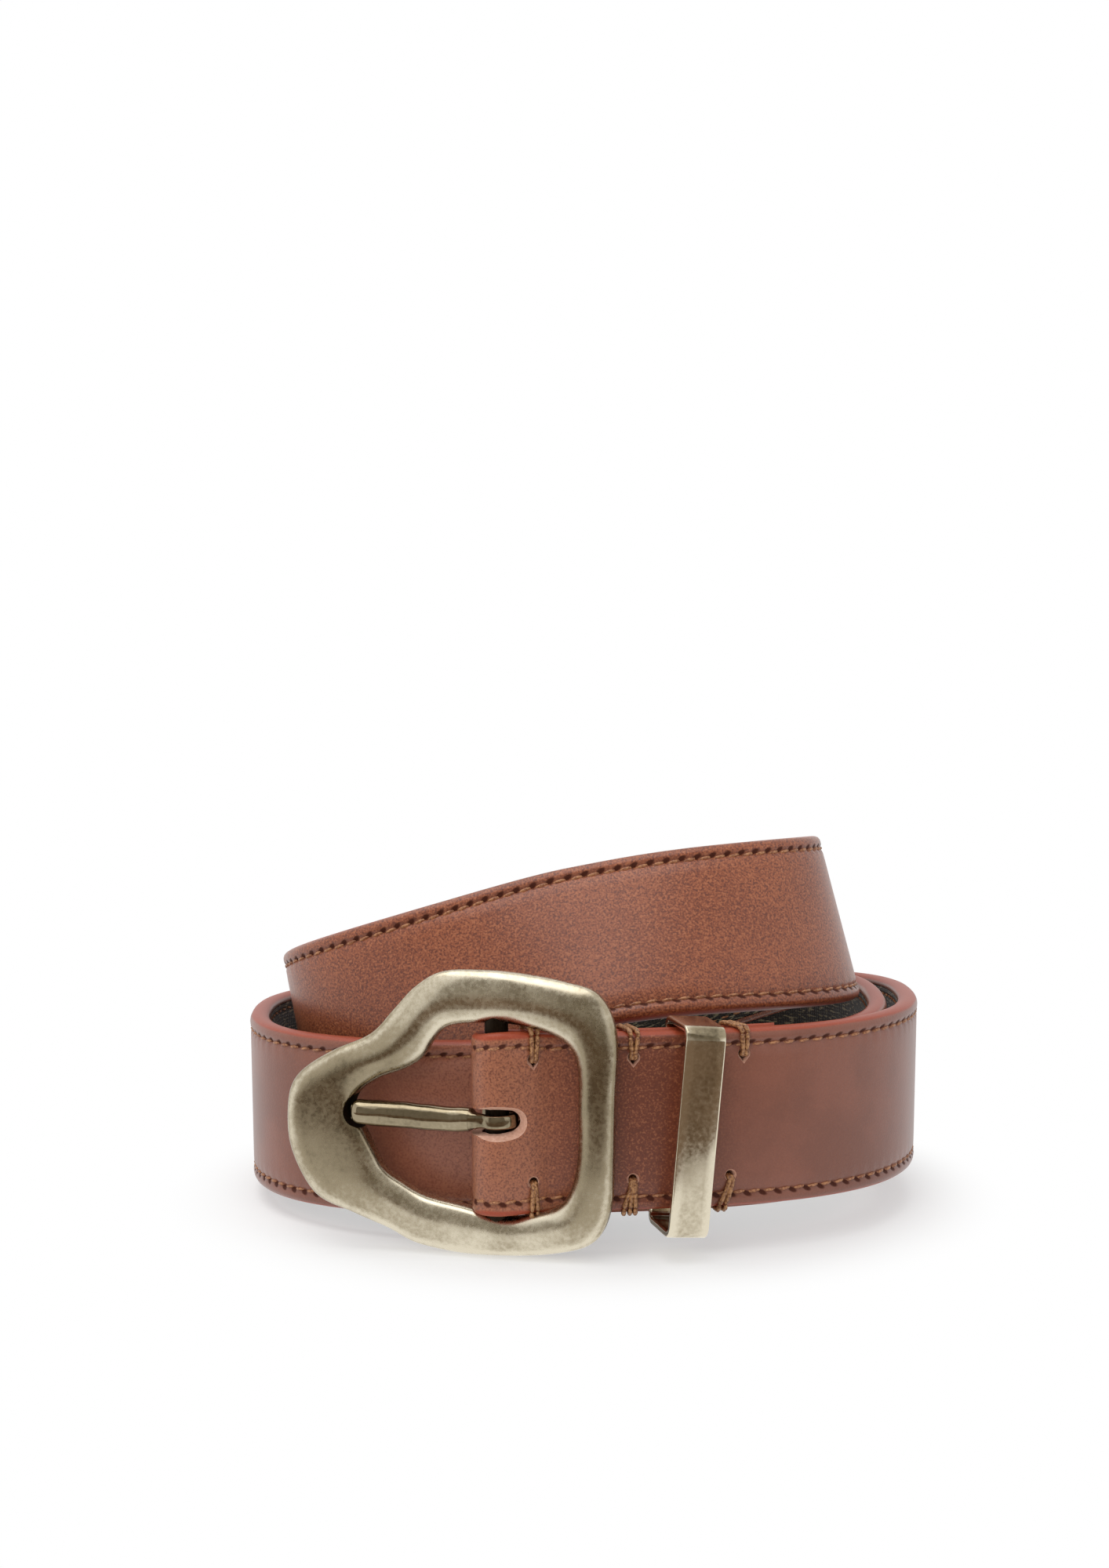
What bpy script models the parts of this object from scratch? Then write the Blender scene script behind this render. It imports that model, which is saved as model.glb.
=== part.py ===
"""Leather belt with a cast brass centre-bar buckle, coiled and standing on its edge.

Units are metres and +Z is up.  The strap leaves the buckle at the front (-Y) and winds
round by the right (+X), the back and the left.  Its upper turn leans over and climbs to
the right.  Each size below can be changed by itself: what fits to it follows.
"""
import bisect
import math

import bmesh
import bpy
from mathutils import Matrix, Vector

MM = 0.001

# Strap
STRAP_WIDTH = 35.0 * MM
STRAP_LENGTH = 1030.0 * MM          # from the middle of the bar to the point
LEATHER_THICKNESS = 2.4 * MM
LINING_THICKNESS = 1.5 * MM
TAIL_THICKNESS = 1.6 * MM           # the leather is pared thin where it folds back
TAIL_LENGTH = 55.0 * MM             # fold-back behind the strap, from the bar to its end
GLUE_LINE = 0.1 * MM
EDGE_ROUND = 1.0 * MM
POINT_LENGTH = 24.0 * MM
POINT_WIDTH = 9.0 * MM
ADJUSTING_HOLES = 5
HOLE_DIAMETER = 5.5 * MM
HOLE_PITCH = 25.0 * MM
FIRST_HOLE = 75.0 * MM              # from the point to the nearest hole

# Coil, measured over the outer face of its outer turn
COIL_BREADTH = 139.4 * MM
COIL_DEPTH = 116.0 * MM
COIL_LEAD = 3.1 * MM                # the coil reaches further to the front than the back
COIL_SQUARENESS = 2.5               # exponent of the superellipse that a turn follows
UPPER_SQUARENESS = 2.15             # the upper turn is rounder

# Buckle
BAR_PLACE = -16.4 * MM              # across the front of the coil
FOLD_LEAD = 13.0 * MM               # from the bar to where the strap lies flat
BAR_DIAMETER = 4.5 * MM
BAR_SOCKET_DEPTH = 3.2 * MM
FRAME_DEPTH = 6.0 * MM
FRAME_SIDE_ROOM = 2.5 * MM          # from the strap's edge to the frame's inner edge
FRAME_SWING = math.radians(14.0)    # the frame lies turned on its bar, nose inwards
PRONG_WIDTH = 5.1 * MM
PRONG_THICKNESS = 4.6 * MM
PRONG_NECK_WIDTH = 2.8 * MM
PRONG_NECK_THICKNESS = 1.6 * MM
PRONG_SINK = 0.9 * MM               # the shank lies this far below the top of its curl
PRONG_TIP_RISE = 1.3 * MM           # the tip lies this far above the bar's middle
NOTCH_ROOM = 1.8 * MM               # round the prong's tip in the frame's notch
SLOT_WIDTH = 7.0 * MM
SLOT_REACH = 5.6 * MM               # from the bar's middle to the slot's round end

# Keeper and lashings
KEEPER_BAND = 7.9 * MM
KEEPER_WALL = 1.3 * MM
KEEPER_CORNER = 1.2 * MM            # inside radius of its corners
KEEPER_EDGE = 0.25 * MM             # flat worn along its rims
KEEPER_ROOM_FRONT = 5.4 * MM        # room for the strap's point under the keeper
KEEPER_REAR_ROOM = 2.5 * MM         # between the keeper's back wall and its neighbours
KEEPER_ROOM_BELOW = 3.0 * MM
KEEPER_PLACE = 35.8 * MM            # from the bar along the strap
KEEPER_TILT = math.radians(4.8)
KEEPER_TURN = math.radians(5.0)
UPPER_LASHINGS = (6.0 * MM, 25.6 * MM, 46.8 * MM)    # from the bar along the strap
LOWER_LASHINGS = (6.0 * MM, 25.6 * MM, 44.4 * MM)
LASHING_INSET = 6.5 * MM            # from the strap's edge to the middle of the slit
LASHING_WIDTH = 3.0 * MM
LASHING_THICKNESS = 0.8 * MM
LASHING_BEND = 1.2 * MM             # radius of the thread's turn over the strap's edge

# Clearances
SEAT_GAP = 0.3 * MM                 # between pieces that lie on one another
SOCKET_GAP = 0.1 * MM               # round the bar in its sockets
HEEL_GAP = 0.8 * MM                 # between the strap and the frame's heel in front of it
FOLD_SLACK = 0.6 * MM               # round the bar in the fold
THREAD_GAP = 0.2 * MM               # round a lashing
TURN_GAP = 0.5 * MM                 # between turns of the coil that touch

# Mesh fineness
STRAP_STEP = 5.6 * MM
FOLD_STEPS = 12
BAR_SIDES = 24
FRAME_SIDES = 14
FRAME_SUBSTEPS = 3

STRAP_THICKNESS = LEATHER_THICKNESS + GLUE_LINE + LINING_THICKNESS
STACK_THICKNESS = STRAP_THICKNESS + GLUE_LINE + TAIL_THICKNESS
FOLD_RADIUS = BAR_DIAMETER / 2 + FOLD_SLACK

UP = Vector((0.0, 0.0, 1.0))


# ------------------------------------------------------------------ small helpers
def clear_scene():
    for item in list(bpy.data.objects):
        bpy.data.objects.remove(item, do_unlink=True)


def make_material(name, colour, roughness, metallic=0.0):
    material = bpy.data.materials.new(name)
    material.use_nodes = True
    shader = material.node_tree.nodes["Principled BSDF"]
    shader.inputs["Base Color"].default_value = (*colour, 1.0)
    shader.inputs["Roughness"].default_value = roughness
    shader.inputs["Metallic"].default_value = metallic
    material.diffuse_color = (*colour, 1.0)
    return material


def add_object(name, mesh, material=None, sharp_angle=40.0):
    item = bpy.data.objects.new(name, mesh)
    bpy.context.collection.objects.link(item)
    if material:
        mesh.materials.append(material)
    mesh.shade_smooth()
    mesh.set_sharp_from_angle(angle=math.radians(sharp_angle))
    return item


def loft(name, rings, closed=False, split=False):
    """Skin a row of point rings; an open row gets a cap at each end.

    Split faces keep two lofts on the same stations parallel where those twist.
    """
    shape = bmesh.new()
    rows = [[shape.verts.new(point) for point in ring] for ring in rings]
    pairs = list(zip(rows, rows[1:]))
    if closed:
        pairs.append((rows[-1], rows[0]))
    for one, two in pairs:
        for i in range(len(one)):
            j = (i + 1) % len(one)
            if split:
                shape.faces.new((one[i], one[j], two[j]))
                shape.faces.new((one[i], two[j], two[i]))
            else:
                shape.faces.new((one[i], one[j], two[j], two[i]))
    if not closed:
        shape.faces.new(rows[0])
        shape.faces.new(rows[-1])
    bmesh.ops.recalc_face_normals(shape, faces=shape.faces)
    mesh = bpy.data.meshes.new(name)
    shape.to_mesh(mesh)
    shape.free()
    return mesh


def cut(target, name, cutters):
    """Cut closed meshes, given as (mesh, matrix), out of an object."""
    shape = bmesh.new()
    for mesh, matrix in cutters:
        placed = mesh.copy()
        placed.transform(matrix)
        shape.from_mesh(placed)
    joined = bpy.data.meshes.new(name)
    shape.to_mesh(joined)
    shape.free()
    cutter = bpy.data.objects.new(name, joined)
    bpy.context.collection.objects.link(cutter)
    cutter.matrix_world = target.matrix_world
    cutter.hide_render = True
    cutter.display_type = "WIRE"
    modifier = target.modifiers.new(name, "BOOLEAN")
    modifier.operation = "DIFFERENCE"
    modifier.solver = "EXACT"
    modifier.object = cutter


def prism(name, outline, low, high):
    """Extrude an outline in the XY plane from one height to another."""
    return loft(name, [[Vector((x, y, height)) for x, y in outline] for height in (low, high)])


def circle(radius, sides):
    angles = [2 * math.pi * i / sides for i in range(sides)]
    return [(radius * math.cos(a), radius * math.sin(a)) for a in angles]


def stadium(start, end, width, sides=8):
    """Outline with round ends, along X from start to end."""
    radius = width / 2
    turn = [math.pi * i / sides for i in range(sides + 1)]
    right = [(end - radius + radius * math.sin(a), -radius * math.cos(a)) for a in turn]
    left = [(start + radius - radius * math.sin(a), radius * math.cos(a)) for a in turn]
    return right + left


def axes(x_axis, y_axis, z_axis, origin):
    """Matrix that carries the unit axes to the three given ones."""
    matrix = Matrix((x_axis, y_axis, z_axis)).transposed().to_4x4()
    matrix.translation = origin
    return matrix


def hermite(knots, values, at):
    """Smooth curve through values at rising knots, level beyond the ends."""
    last = len(knots) - 1
    at = min(max(at, knots[0]), knots[-1])
    index = min(max(bisect.bisect_right(knots, at) - 1, 0), last - 1)

    def slope(i):
        low, high = max(i - 1, 0), min(i + 1, last)
        return (values[high] - values[low]) / (knots[high] - knots[low])

    span = knots[index + 1] - knots[index]
    t = (at - knots[index]) / span
    return ((2 * t ** 3 - 3 * t ** 2 + 1) * values[index]
            + (t ** 3 - 2 * t ** 2 + t) * span * slope(index)
            + (3 * t ** 2 - 2 * t ** 3) * values[index + 1]
            + (t ** 3 - t ** 2) * span * slope(index + 1))


# ------------------------------------------------------------------ the coil's path
class Station:
    """A cross-section of the strap: its middle and its axes along, up and outwards.

    The lean is the slope at which it tips inwards from upright.
    """

    def __init__(self, point, along, lean=0.0):
        self.point = point
        self.along = along.normalized()
        self.lean = lean
        axis = UP - self.along.cross(UP).normalized() * lean
        self.up = (axis - self.along * axis.dot(self.along)).normalized()
        self.out = self.along.cross(self.up)

    def at(self, up, out):
        return self.point + self.up * up + self.out * out


# The coil at each quarter turn from the buckle on: the height of the strap's lower edge,
# the slope at which the strap leans in over the coil, and its extra room to the turn
# outside it.  At the front and right the upper turn lies just over the rims below it.
EDGE_HEIGHTS = (7.6 * MM, 5.6 * MM, -1.25 * MM, 1.6 * MM,
                4.4 * MM, 5.2 * MM, 5.0 * MM, 13.6 * MM,
                STRAP_WIDTH + 5.2 * MM, STRAP_WIDTH + 3.6 * MM, 14.4 * MM, 9.4 * MM,
                8.0 * MM, 8.0 * MM)
LEANS = (0.0, 0.0, 0.0, 0.0, 0.0, 0.0, 0.0, -0.18, 0.66, 0.26, 0.05, 0.0, 0.0, 0.0)
TIPPING_ROOM = STRAP_WIDTH / 2 * (LEANS[9] + LEANS[10]) / 2   # the upper turn tips back upright
TURN_ROOM = (0.0, 0.0, 0.0, 0.0, 0.0, 1.9 * MM, 1.0 * MM, 2.0 * MM,
             0.0, 0.8 * MM, 1.0 * MM + TIPPING_ROOM, 6.0 * MM, 4.0 * MM)
LAID_QUARTERS = 18                  # the path is laid out for more turns than the strap needs


def coil_reaches():
    """Reach of the strap's middle plane from the coil's axis at each quarter turn.

    The buckle's doubled stretch and the keeper's back wall stand between the first turn
    and the second at the front, so the front reach of the second is set by the first's.
    """
    half = STRAP_THICKNESS / 2
    pitch = STRAP_THICKNESS + TURN_GAP
    keeper_depth = KEEPER_WALL + KEEPER_BAND * math.sin(KEEPER_TURN) + KEEPER_REAR_ROOM
    front = COIL_DEPTH / 2 + COIL_LEAD - half
    side = COIL_BREADTH / 2 - half
    back = COIL_DEPTH / 2 - COIL_LEAD - half
    reaches = [front, side, back, side, front - STACK_THICKNESS - keeper_depth]
    for quarter in range(len(reaches), LAID_QUARTERS):
        lean = LEANS[quarter] if quarter < len(LEANS) else 0.0
        room = TURN_ROOM[quarter] if quarter < len(TURN_ROOM) else TURN_GAP
        overhang = STRAP_WIDTH / 2 * abs(lean) / math.hypot(1.0, lean)
        reaches.append(reaches[quarter - 4] - pitch - overhang - room)
    return reaches


def coil_path():
    """Points on the strap's middle line, each with its lean, closely spaced."""
    reaches = coil_reaches()
    knots = [0.25 * i for i in range(len(reaches))]
    reach_knots = [-0.25] + knots
    reaches = [reaches[1]] + reaches
    height_knots = [-0.25, -0.1, 0.0, 0.09] + knots[1:len(EDGE_HEIGHTS)]
    heights = EDGE_HEIGHTS[:1] * 4 + EDGE_HEIGHTS[1:]
    path = []
    steps = 720
    for i in range(int(-0.03 * steps), int(knots[-1] * steps) + 1):
        turn = i / steps
        angle = 2 * math.pi * turn
        across = hermite(reach_knots[0::2], reaches[0::2], turn)
        ahead = hermite(reach_knots[1::2], reaches[1::2], turn)
        share = min(max((turn - 1.5) / 0.25, 0.0), 1.0)
        power = COIL_SQUARENESS + (UPPER_SQUARENESS - COIL_SQUARENESS) * share
        radius = (abs(math.sin(angle) / across) ** power
                  + abs(math.cos(angle) / ahead) ** power) ** (-1 / power)
        lean = hermite(knots[:len(LEANS)], LEANS, turn)
        height = (hermite(height_knots, heights, turn)
                  + STRAP_WIDTH / 2 / math.hypot(1.0, lean))
        path.append((Vector((radius * math.sin(angle), -radius * math.cos(angle), height)), lean))
    return path


def even_stations(path, start, length, step):
    """Stations at even spacing along the path, from a place where X first reaches start."""
    begin = next(i for i, (point, _) in enumerate(path) if point.x >= start)
    path = path[begin:]
    run = [0.0]
    for (one, _), (two, _) in zip(path, path[1:]):
        run.append(run[-1] + (two - one).length)
    count = round(length / step)
    stations = []
    for i in range(count + 1):
        goal = length * i / count
        k = min(max(bisect.bisect_right(run, goal) - 1, 0), len(run) - 2)
        share = (goal - run[k]) / (run[k + 1] - run[k])
        point = path[k][0].lerp(path[k + 1][0], share)
        low, high = max(k - 2, 0), min(k + 3, len(path) - 1)
        stations.append(Station(point, path[high][0] - path[low][0], path[k][1]))
    return stations


# ------------------------------------------------------------------ strap
class Belt:
    """The laid-out strap and bar, which every other piece takes its place from."""

    def __init__(self):
        half = STRAP_THICKNESS / 2
        path = coil_path()
        self.stations = even_stations(path, BAR_PLACE + FOLD_LEAD,
                                      STRAP_LENGTH - FOLD_LEAD, STRAP_STEP)
        first = self.stations[0]
        heel_reach = FRAME_STATIONS[HEEL_STATION][0] * MM + RAIL_WIDTHS[HEEL_STATION] * MM / 2
        face_y = first.at(0.0, half).y
        bar_y = (face_y - HEEL_GAP - FRAME_DEPTH / 2 / math.cos(FRAME_SWING)
                 + heel_reach * math.sin(FRAME_SWING))
        self.bar = Vector((BAR_PLACE, bar_y, first.point.z))
        run = [FOLD_LEAD]
        for one, two in zip(self.stations, self.stations[1:]):
            run.append(run[-1] + (two.point - one.point).length)
        self.run = run

    def station(self, place):
        """Station at a distance from the bar, on the stretch where the strap lies flat."""
        k = min(max(bisect.bisect_right(self.run, place) - 1, 0), len(self.run) - 2)
        share = (place - self.run[k]) / (self.run[k + 1] - self.run[k])
        one, two = self.stations[k], self.stations[k + 1]
        along = one.along.lerp(two.along, share)
        lean = one.lean + (two.lean - one.lean) * share
        return Station(one.point.lerp(two.point, share), along, lean)


def fold_stations(belt):
    """The leather's inner face round the bar: in from the tail and out to the strap.

    Each item is (station, thickness).  Outwards is away from the bar.
    """
    first = belt.stations[0]
    half = STRAP_THICKNESS / 2
    face = first.at(0.0, half - LEATHER_THICKNESS)
    back = first.at(0.0, -half - GLUE_LINE)
    centre = belt.bar
    row = []

    def tangent_angle(point, side):
        """Angle about the bar at which a line from a point touches the fold's round."""
        offset = point - centre
        reach = math.acos(FOLD_RADIUS / offset.length)
        return math.atan2(offset.y, offset.x) + side * reach

    start = tangent_angle(back, 1.0)
    end = tangent_angle(face, -1.0)
    start_point = centre + Vector((math.cos(start), math.sin(start), 0.0)) * FOLD_RADIUS
    end_point = centre + Vector((math.cos(end), math.sin(end), 0.0)) * FOLD_RADIUS
    if end < start:
        end += 2 * math.pi
    for share in (0.0, 0.5):
        row.append((back.lerp(start_point, share), start_point - back, 0.0))
    for i in range(FOLD_STEPS + 1):
        angle = start + (end - start) * i / FOLD_STEPS
        spoke = Vector((math.cos(angle), math.sin(angle), 0.0))
        along = Vector((-spoke.y, spoke.x, 0.0))
        row.append((centre + spoke * FOLD_RADIUS, along, i / FOLD_STEPS))
    handle = (face - end_point).length * 0.42
    exit_way = Vector((-math.sin(end), math.cos(end), 0.0))
    curve = [end_point, end_point + exit_way * handle * 1.3, face - first.along * handle, face]
    for i in range(1, 5):
        t = i / 5
        s = 1 - t
        weights = (s ** 3, 3 * s * s * t, 3 * s * t * t, t ** 3)
        rates = (-3 * s * s, 3 * s * s - 6 * s * t, 6 * s * t - 3 * t * t, 3 * t * t)
        point = sum((p * w for p, w in zip(curve, weights)), Vector())
        along = sum((p * r for p, r in zip(curve, rates)), Vector())
        row.append((point, along, 1.0))
    return [(Station(point, along),
             TAIL_THICKNESS + (LEATHER_THICKNESS - TAIL_THICKNESS) * share)
            for point, along, share in row]


def band_section(station, width, low, high, rounded_high=True):
    """Cross-section of a flat band with the two edges of one face rounded off."""
    half = width / 2
    small = 0.3 * EDGE_ROUND
    depth = EDGE_ROUND if rounded_high else -EDGE_ROUND
    shallow = small if rounded_high else -small
    face, flat = (high, low) if rounded_high else (low, high)
    outline = [(-half, flat), (-half, face - depth), (-half + small, face - shallow),
               (-half + EDGE_ROUND, face), (half - EDGE_ROUND, face),
               (half - small, face - shallow), (half, face - depth), (half, flat)]
    return [station.at(up, out) for up, out in outline]


def strap_width(place):
    """Width of the strap, which narrows to a blunt round point."""
    left = STRAP_LENGTH - place
    if left >= POINT_LENGTH:
        return STRAP_WIDTH
    share = 1 - left / POINT_LENGTH
    return POINT_WIDTH + (STRAP_WIDTH - POINT_WIDTH) * math.sqrt(max(1 - share ** 2.2, 0.0))


def point_steps(belt):
    """Stations with the last stretch divided more finely for the point's outline."""
    coarse = [(belt.stations[i], belt.run[i]) for i in range(len(belt.stations))
              if STRAP_LENGTH - belt.run[i] > POINT_LENGTH]
    fine = []
    for share in (0.0, 0.3, 0.55, 0.75, 0.88, 0.96, 1.0):
        place = STRAP_LENGTH - POINT_LENGTH * (1 - share)
        place = min(place, belt.run[-1])
        fine.append((belt.station(place), place))
    return coarse + fine


def build_leather(belt, material):
    half = STRAP_THICKNESS / 2
    rings = []
    tail = [(station, place) for station, place in zip(belt.stations, belt.run)
            if place < TAIL_LENGTH - 1 * MM]
    tail.append((belt.station(TAIL_LENGTH), TAIL_LENGTH))
    for station, _ in reversed(tail[1:]):
        turned = Station(station.at(0.0, -half - GLUE_LINE), -station.along)
        rings.append(band_section(turned, STRAP_WIDTH, 0.0, TAIL_THICKNESS))
    for station, thickness in fold_stations(belt):
        rings.append(band_section(station, STRAP_WIDTH, 0.0, thickness))
    for station, place in point_steps(belt):
        width = strap_width(place)
        rings.append(band_section(station, width, half - LEATHER_THICKNESS, half))
    return add_object("strap_leather", loft("strap_leather", rings, split=True), material)


def build_lining(belt, material):
    half = STRAP_THICKNESS / 2
    rings = []
    for station, place in point_steps(belt):
        width = strap_width(place)
        rings.append(band_section(station, width, -half, -half + LINING_THICKNESS, False))
    return add_object("strap_lining", loft("strap_lining", rings, split=True), material)


def cut_strap(belt, leather, lining):
    """Cut the prong's slot, the lashings' slits and the adjusting holes.

    Each cutter ends short of the turn of the coil behind it.
    """
    behind = FOLD_RADIUS + 2 * TAIL_THICKNESS
    slot = prism("slot", stadium(-3 * FOLD_RADIUS, SLOT_REACH, SLOT_WIDTH), -behind, 2 * behind)
    along = Vector((1.0, 0.0, 0.0))
    leather_cuts = [(slot, axes(along, UP, along.cross(UP), belt.bar))]
    lining_cuts = []
    slit_outline = stadium(-LASHING_WIDTH / 2 - THREAD_GAP, LASHING_WIDTH / 2 + THREAD_GAP,
                           LASHING_THICKNESS + 2 * THREAD_GAP, sides=3)
    for places, side in ((UPPER_LASHINGS, 1), (LOWER_LASHINGS, -1)):
        for place in places:
            middle, across, _, _ = lashing_frame(belt, place)
            middle = middle + UP * side * (STRAP_WIDTH / 2 - LASHING_INSET)
            out = across.normalized()
            where = axes(UP.cross(out), UP, out, middle)
            through = across.length / 2 + 2 * LASHING_THICKNESS
            slit = prism("slit", slit_outline, -through, through)
            leather_cuts.append((slit, where))
            if place > belt.run[0]:
                lining_cuts.append((slit, where))
    for i in range(ADJUSTING_HOLES):
        station = belt.station(STRAP_LENGTH - FIRST_HOLE - i * HOLE_PITCH)
        where = axes(station.along, station.up, station.out, station.point)
        through = (STRAP_THICKNESS + TURN_GAP) / 2
        hole = prism("hole", circle(HOLE_DIAMETER / 2, 16), -through, through)
        leather_cuts.append((hole, where))
        lining_cuts.append((hole, where))
    cut(leather, "leather_cuts", leather_cuts)
    cut(lining, "lining_cuts", lining_cuts)


# ------------------------------------------------------------------ lashings and keeper
def stack_faces(belt, place):
    """Front and back faces of the doubled strap at a distance from the bar.

    Each is a point with the direction of the face along the strap there.
    """
    half = STRAP_THICKNESS / 2
    if place >= belt.run[0]:
        station = belt.station(place)
        back = station.at(0.0, half - STACK_THICKNESS)
        return (station.at(0.0, half), station.along), (back, station.along)
    first = belt.stations[0]
    share = place / belt.run[0]
    goal = BAR_PLACE + place
    folds = fold_stations(belt)
    front = folds[len(folds) // 2:]
    for (one, thick_1), (two, thick_2) in zip(front, front[1:]):
        if one.point.x <= goal <= two.point.x:
            t = (goal - one.point.x) / (two.point.x - one.point.x)
            face = one.at(0.0, thick_1).lerp(two.at(0.0, thick_2), t)
            face_way = one.along.lerp(two.along, t)
    start = first.at(0.0, half - STACK_THICKNESS)
    behind = belt.bar + Vector((0.0, FOLD_RADIUS + TAIL_THICKNESS, 0.0))
    return (face, face_way), (behind.lerp(start, share), start - behind)


def lashing_frame(belt, place):
    """Middle of the stack at a lashing, the way out, and the ways along its two faces."""
    (face, face_way), (back, back_way) = stack_faces(belt, place)
    return (face + back) / 2, face - back, face_way.normalized(), back_way.normalized()


def build_lashing(belt, name, place, side, material):
    """A flat bundle of thread that runs through its slit and over the strap's edge."""
    middle, across, face_way, back_way = lashing_frame(belt, place)
    out = across.normalized()
    half = LASHING_THICKNESS / 2
    inner = STRAP_WIDTH / 2 - LASHING_INSET
    outer = STRAP_WIDTH / 2 + THREAD_GAP + half
    reach = across.length / 2 + THREAD_GAP + half
    line = []
    corners = ((outer, reach), (outer, -reach), (inner, -reach), (inner, reach))
    for index, (up, depth) in enumerate(corners):
        radius = LASHING_BEND if index < 2 else LASHING_THICKNESS * 0.55
        heading = math.pi / 2 - index * math.pi / 2
        centre_up = up - math.copysign(radius, up - (inner + outer) / 2)
        centre_depth = depth - math.copysign(radius, depth)
        for turn in (0.0, 0.5, 1.0):
            angle = heading - turn * math.pi / 2
            line.append((centre_up + radius * math.cos(angle),
                         centre_depth + radius * math.sin(angle), angle))
    rings = []
    wide = LASHING_WIDTH / 2
    for up, depth, angle in line:
        along = back_way.lerp(face_way, (depth / reach + 1) / 2).normalized()
        normal = UP * side * math.cos(angle) + along.cross(UP) * math.sin(angle)
        point = middle + UP * side * up + out * depth
        rings.append([point + along * a + normal * b for a, b in (
            (-wide, -half * 0.4), (-wide, half * 0.4), (-wide * 0.7, half), (wide * 0.7, half),
            (wide, half * 0.4), (wide, -half * 0.4), (wide * 0.7, -half), (-wide * 0.7, -half))])
    return add_object(name, loft(name, rings, closed=True), material)


def build_keeper(belt, material):
    """A rectangular brass loop that hangs from the strap's upper edge."""
    station = belt.station(KEEPER_PLACE)
    side_reach = KEEPER_BAND / 2 + STRAP_WIDTH / 2 * math.sin(KEEPER_TILT)
    tilt_room = KEEPER_BAND / 2 * math.sin(KEEPER_TILT)
    turn_room = (side_reach * math.sin(KEEPER_TURN)
                 + STACK_THICKNESS * (1 / math.cos(KEEPER_TURN) - 1) / 2)
    half = STRAP_THICKNESS / 2
    top = STRAP_WIDTH / 2 / math.cos(KEEPER_TILT) + SEAT_GAP + tilt_room
    bottom = -STRAP_WIDTH / 2 - KEEPER_ROOM_BELOW
    front = half + turn_room + KEEPER_ROOM_FRONT
    back = half - STACK_THICKNESS - turn_room - SEAT_GAP
    inner = [(front, bottom), (front, top), (back, top), (back, bottom)]
    rings = []
    edge = KEEPER_EDGE
    wide = KEEPER_BAND / 2
    section = ((-wide, edge), (-wide, KEEPER_WALL - edge), (-wide + edge, KEEPER_WALL),
               (wide - edge, KEEPER_WALL), (wide, KEEPER_WALL - edge), (wide, edge),
               (wide - edge, 0.0), (-wide + edge, 0.0))
    inner_round = KEEPER_CORNER
    for index, (depth, up) in enumerate(inner):
        centre_depth = depth - math.copysign(inner_round, depth - (front + back) / 2)
        centre_up = up - math.copysign(inner_round, up - (top + bottom) / 2)
        heading = -math.pi / 2 + index * math.pi / 2
        for share in (0.0, 0.25, 0.5, 0.75, 1.0):
            angle = heading + share * math.pi / 2
            spoke = (math.cos(angle), math.sin(angle))
            rings.append([Vector((a, -centre_depth - spoke[0] * (inner_round + b),
                                  centre_up + spoke[1] * (inner_round + b)))
                          for a, b in section])
    item = add_object("keeper", loft("keeper", rings, closed=True), material)
    turn = Matrix.Rotation(KEEPER_TURN, 4, "Z") @ Matrix.Rotation(KEEPER_TILT, 4, "Y")
    item.matrix_world = axes(station.along, -station.out, UP, station.point) @ turn
    return item


# ------------------------------------------------------------------ buckle
# The frame's inner edge, from the nose over the top and round to the nose again: how far
# along from the bar, how high as a share of the half opening, and the rail's direction.
FRAME_STATIONS = (
    (-28.5, 0.06, 176), (-27.5, 0.23, 165), (-23.5, 0.38, 152), (-18.0, 0.49, 138),
    (-14.0, 0.61, 123), (-12.0, 0.79, 109), (-9.0, 0.95, 99), (-2.5, 1.02, 92),
    (4.5, 1.00, 86), (10.5, 0.91, 74), (14.3, 0.78, 60), (16.0, 0.57, 42),
    (16.2, 0.19, 8), (16.0, -0.30, 0), (14.8, -0.64, -25), (12.2, -0.84, -42),
    (7.5, -0.97, -60), (0.0, -1.02, -86), (-8.0, -0.93, -97), (-14.0, -0.80, -102),
    (-19.0, -0.63, -108), (-22.5, -0.51, -125), (-24.5, -0.33, -143), (-26.5, -0.12, -162),
)
RAIL_WIDTHS = (
    13.4, 12.6, 10.6, 9.6, 10.8, 11.4, 10.9, 9.8, 9.7, 10.5, 11.7, 10.0,
    7.1, 7.0, 8.2, 8.9, 7.2, 6.1, 7.7, 9.1, 9.9, 11.2, 15.2, 15.6,
)
HEEL_STATION = 13
BAR_TOP_STATION = 7
BAR_FOOT_STATION = 17
HALF_OPENING = STRAP_WIDTH / 2 + FRAME_SIDE_ROOM


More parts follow.
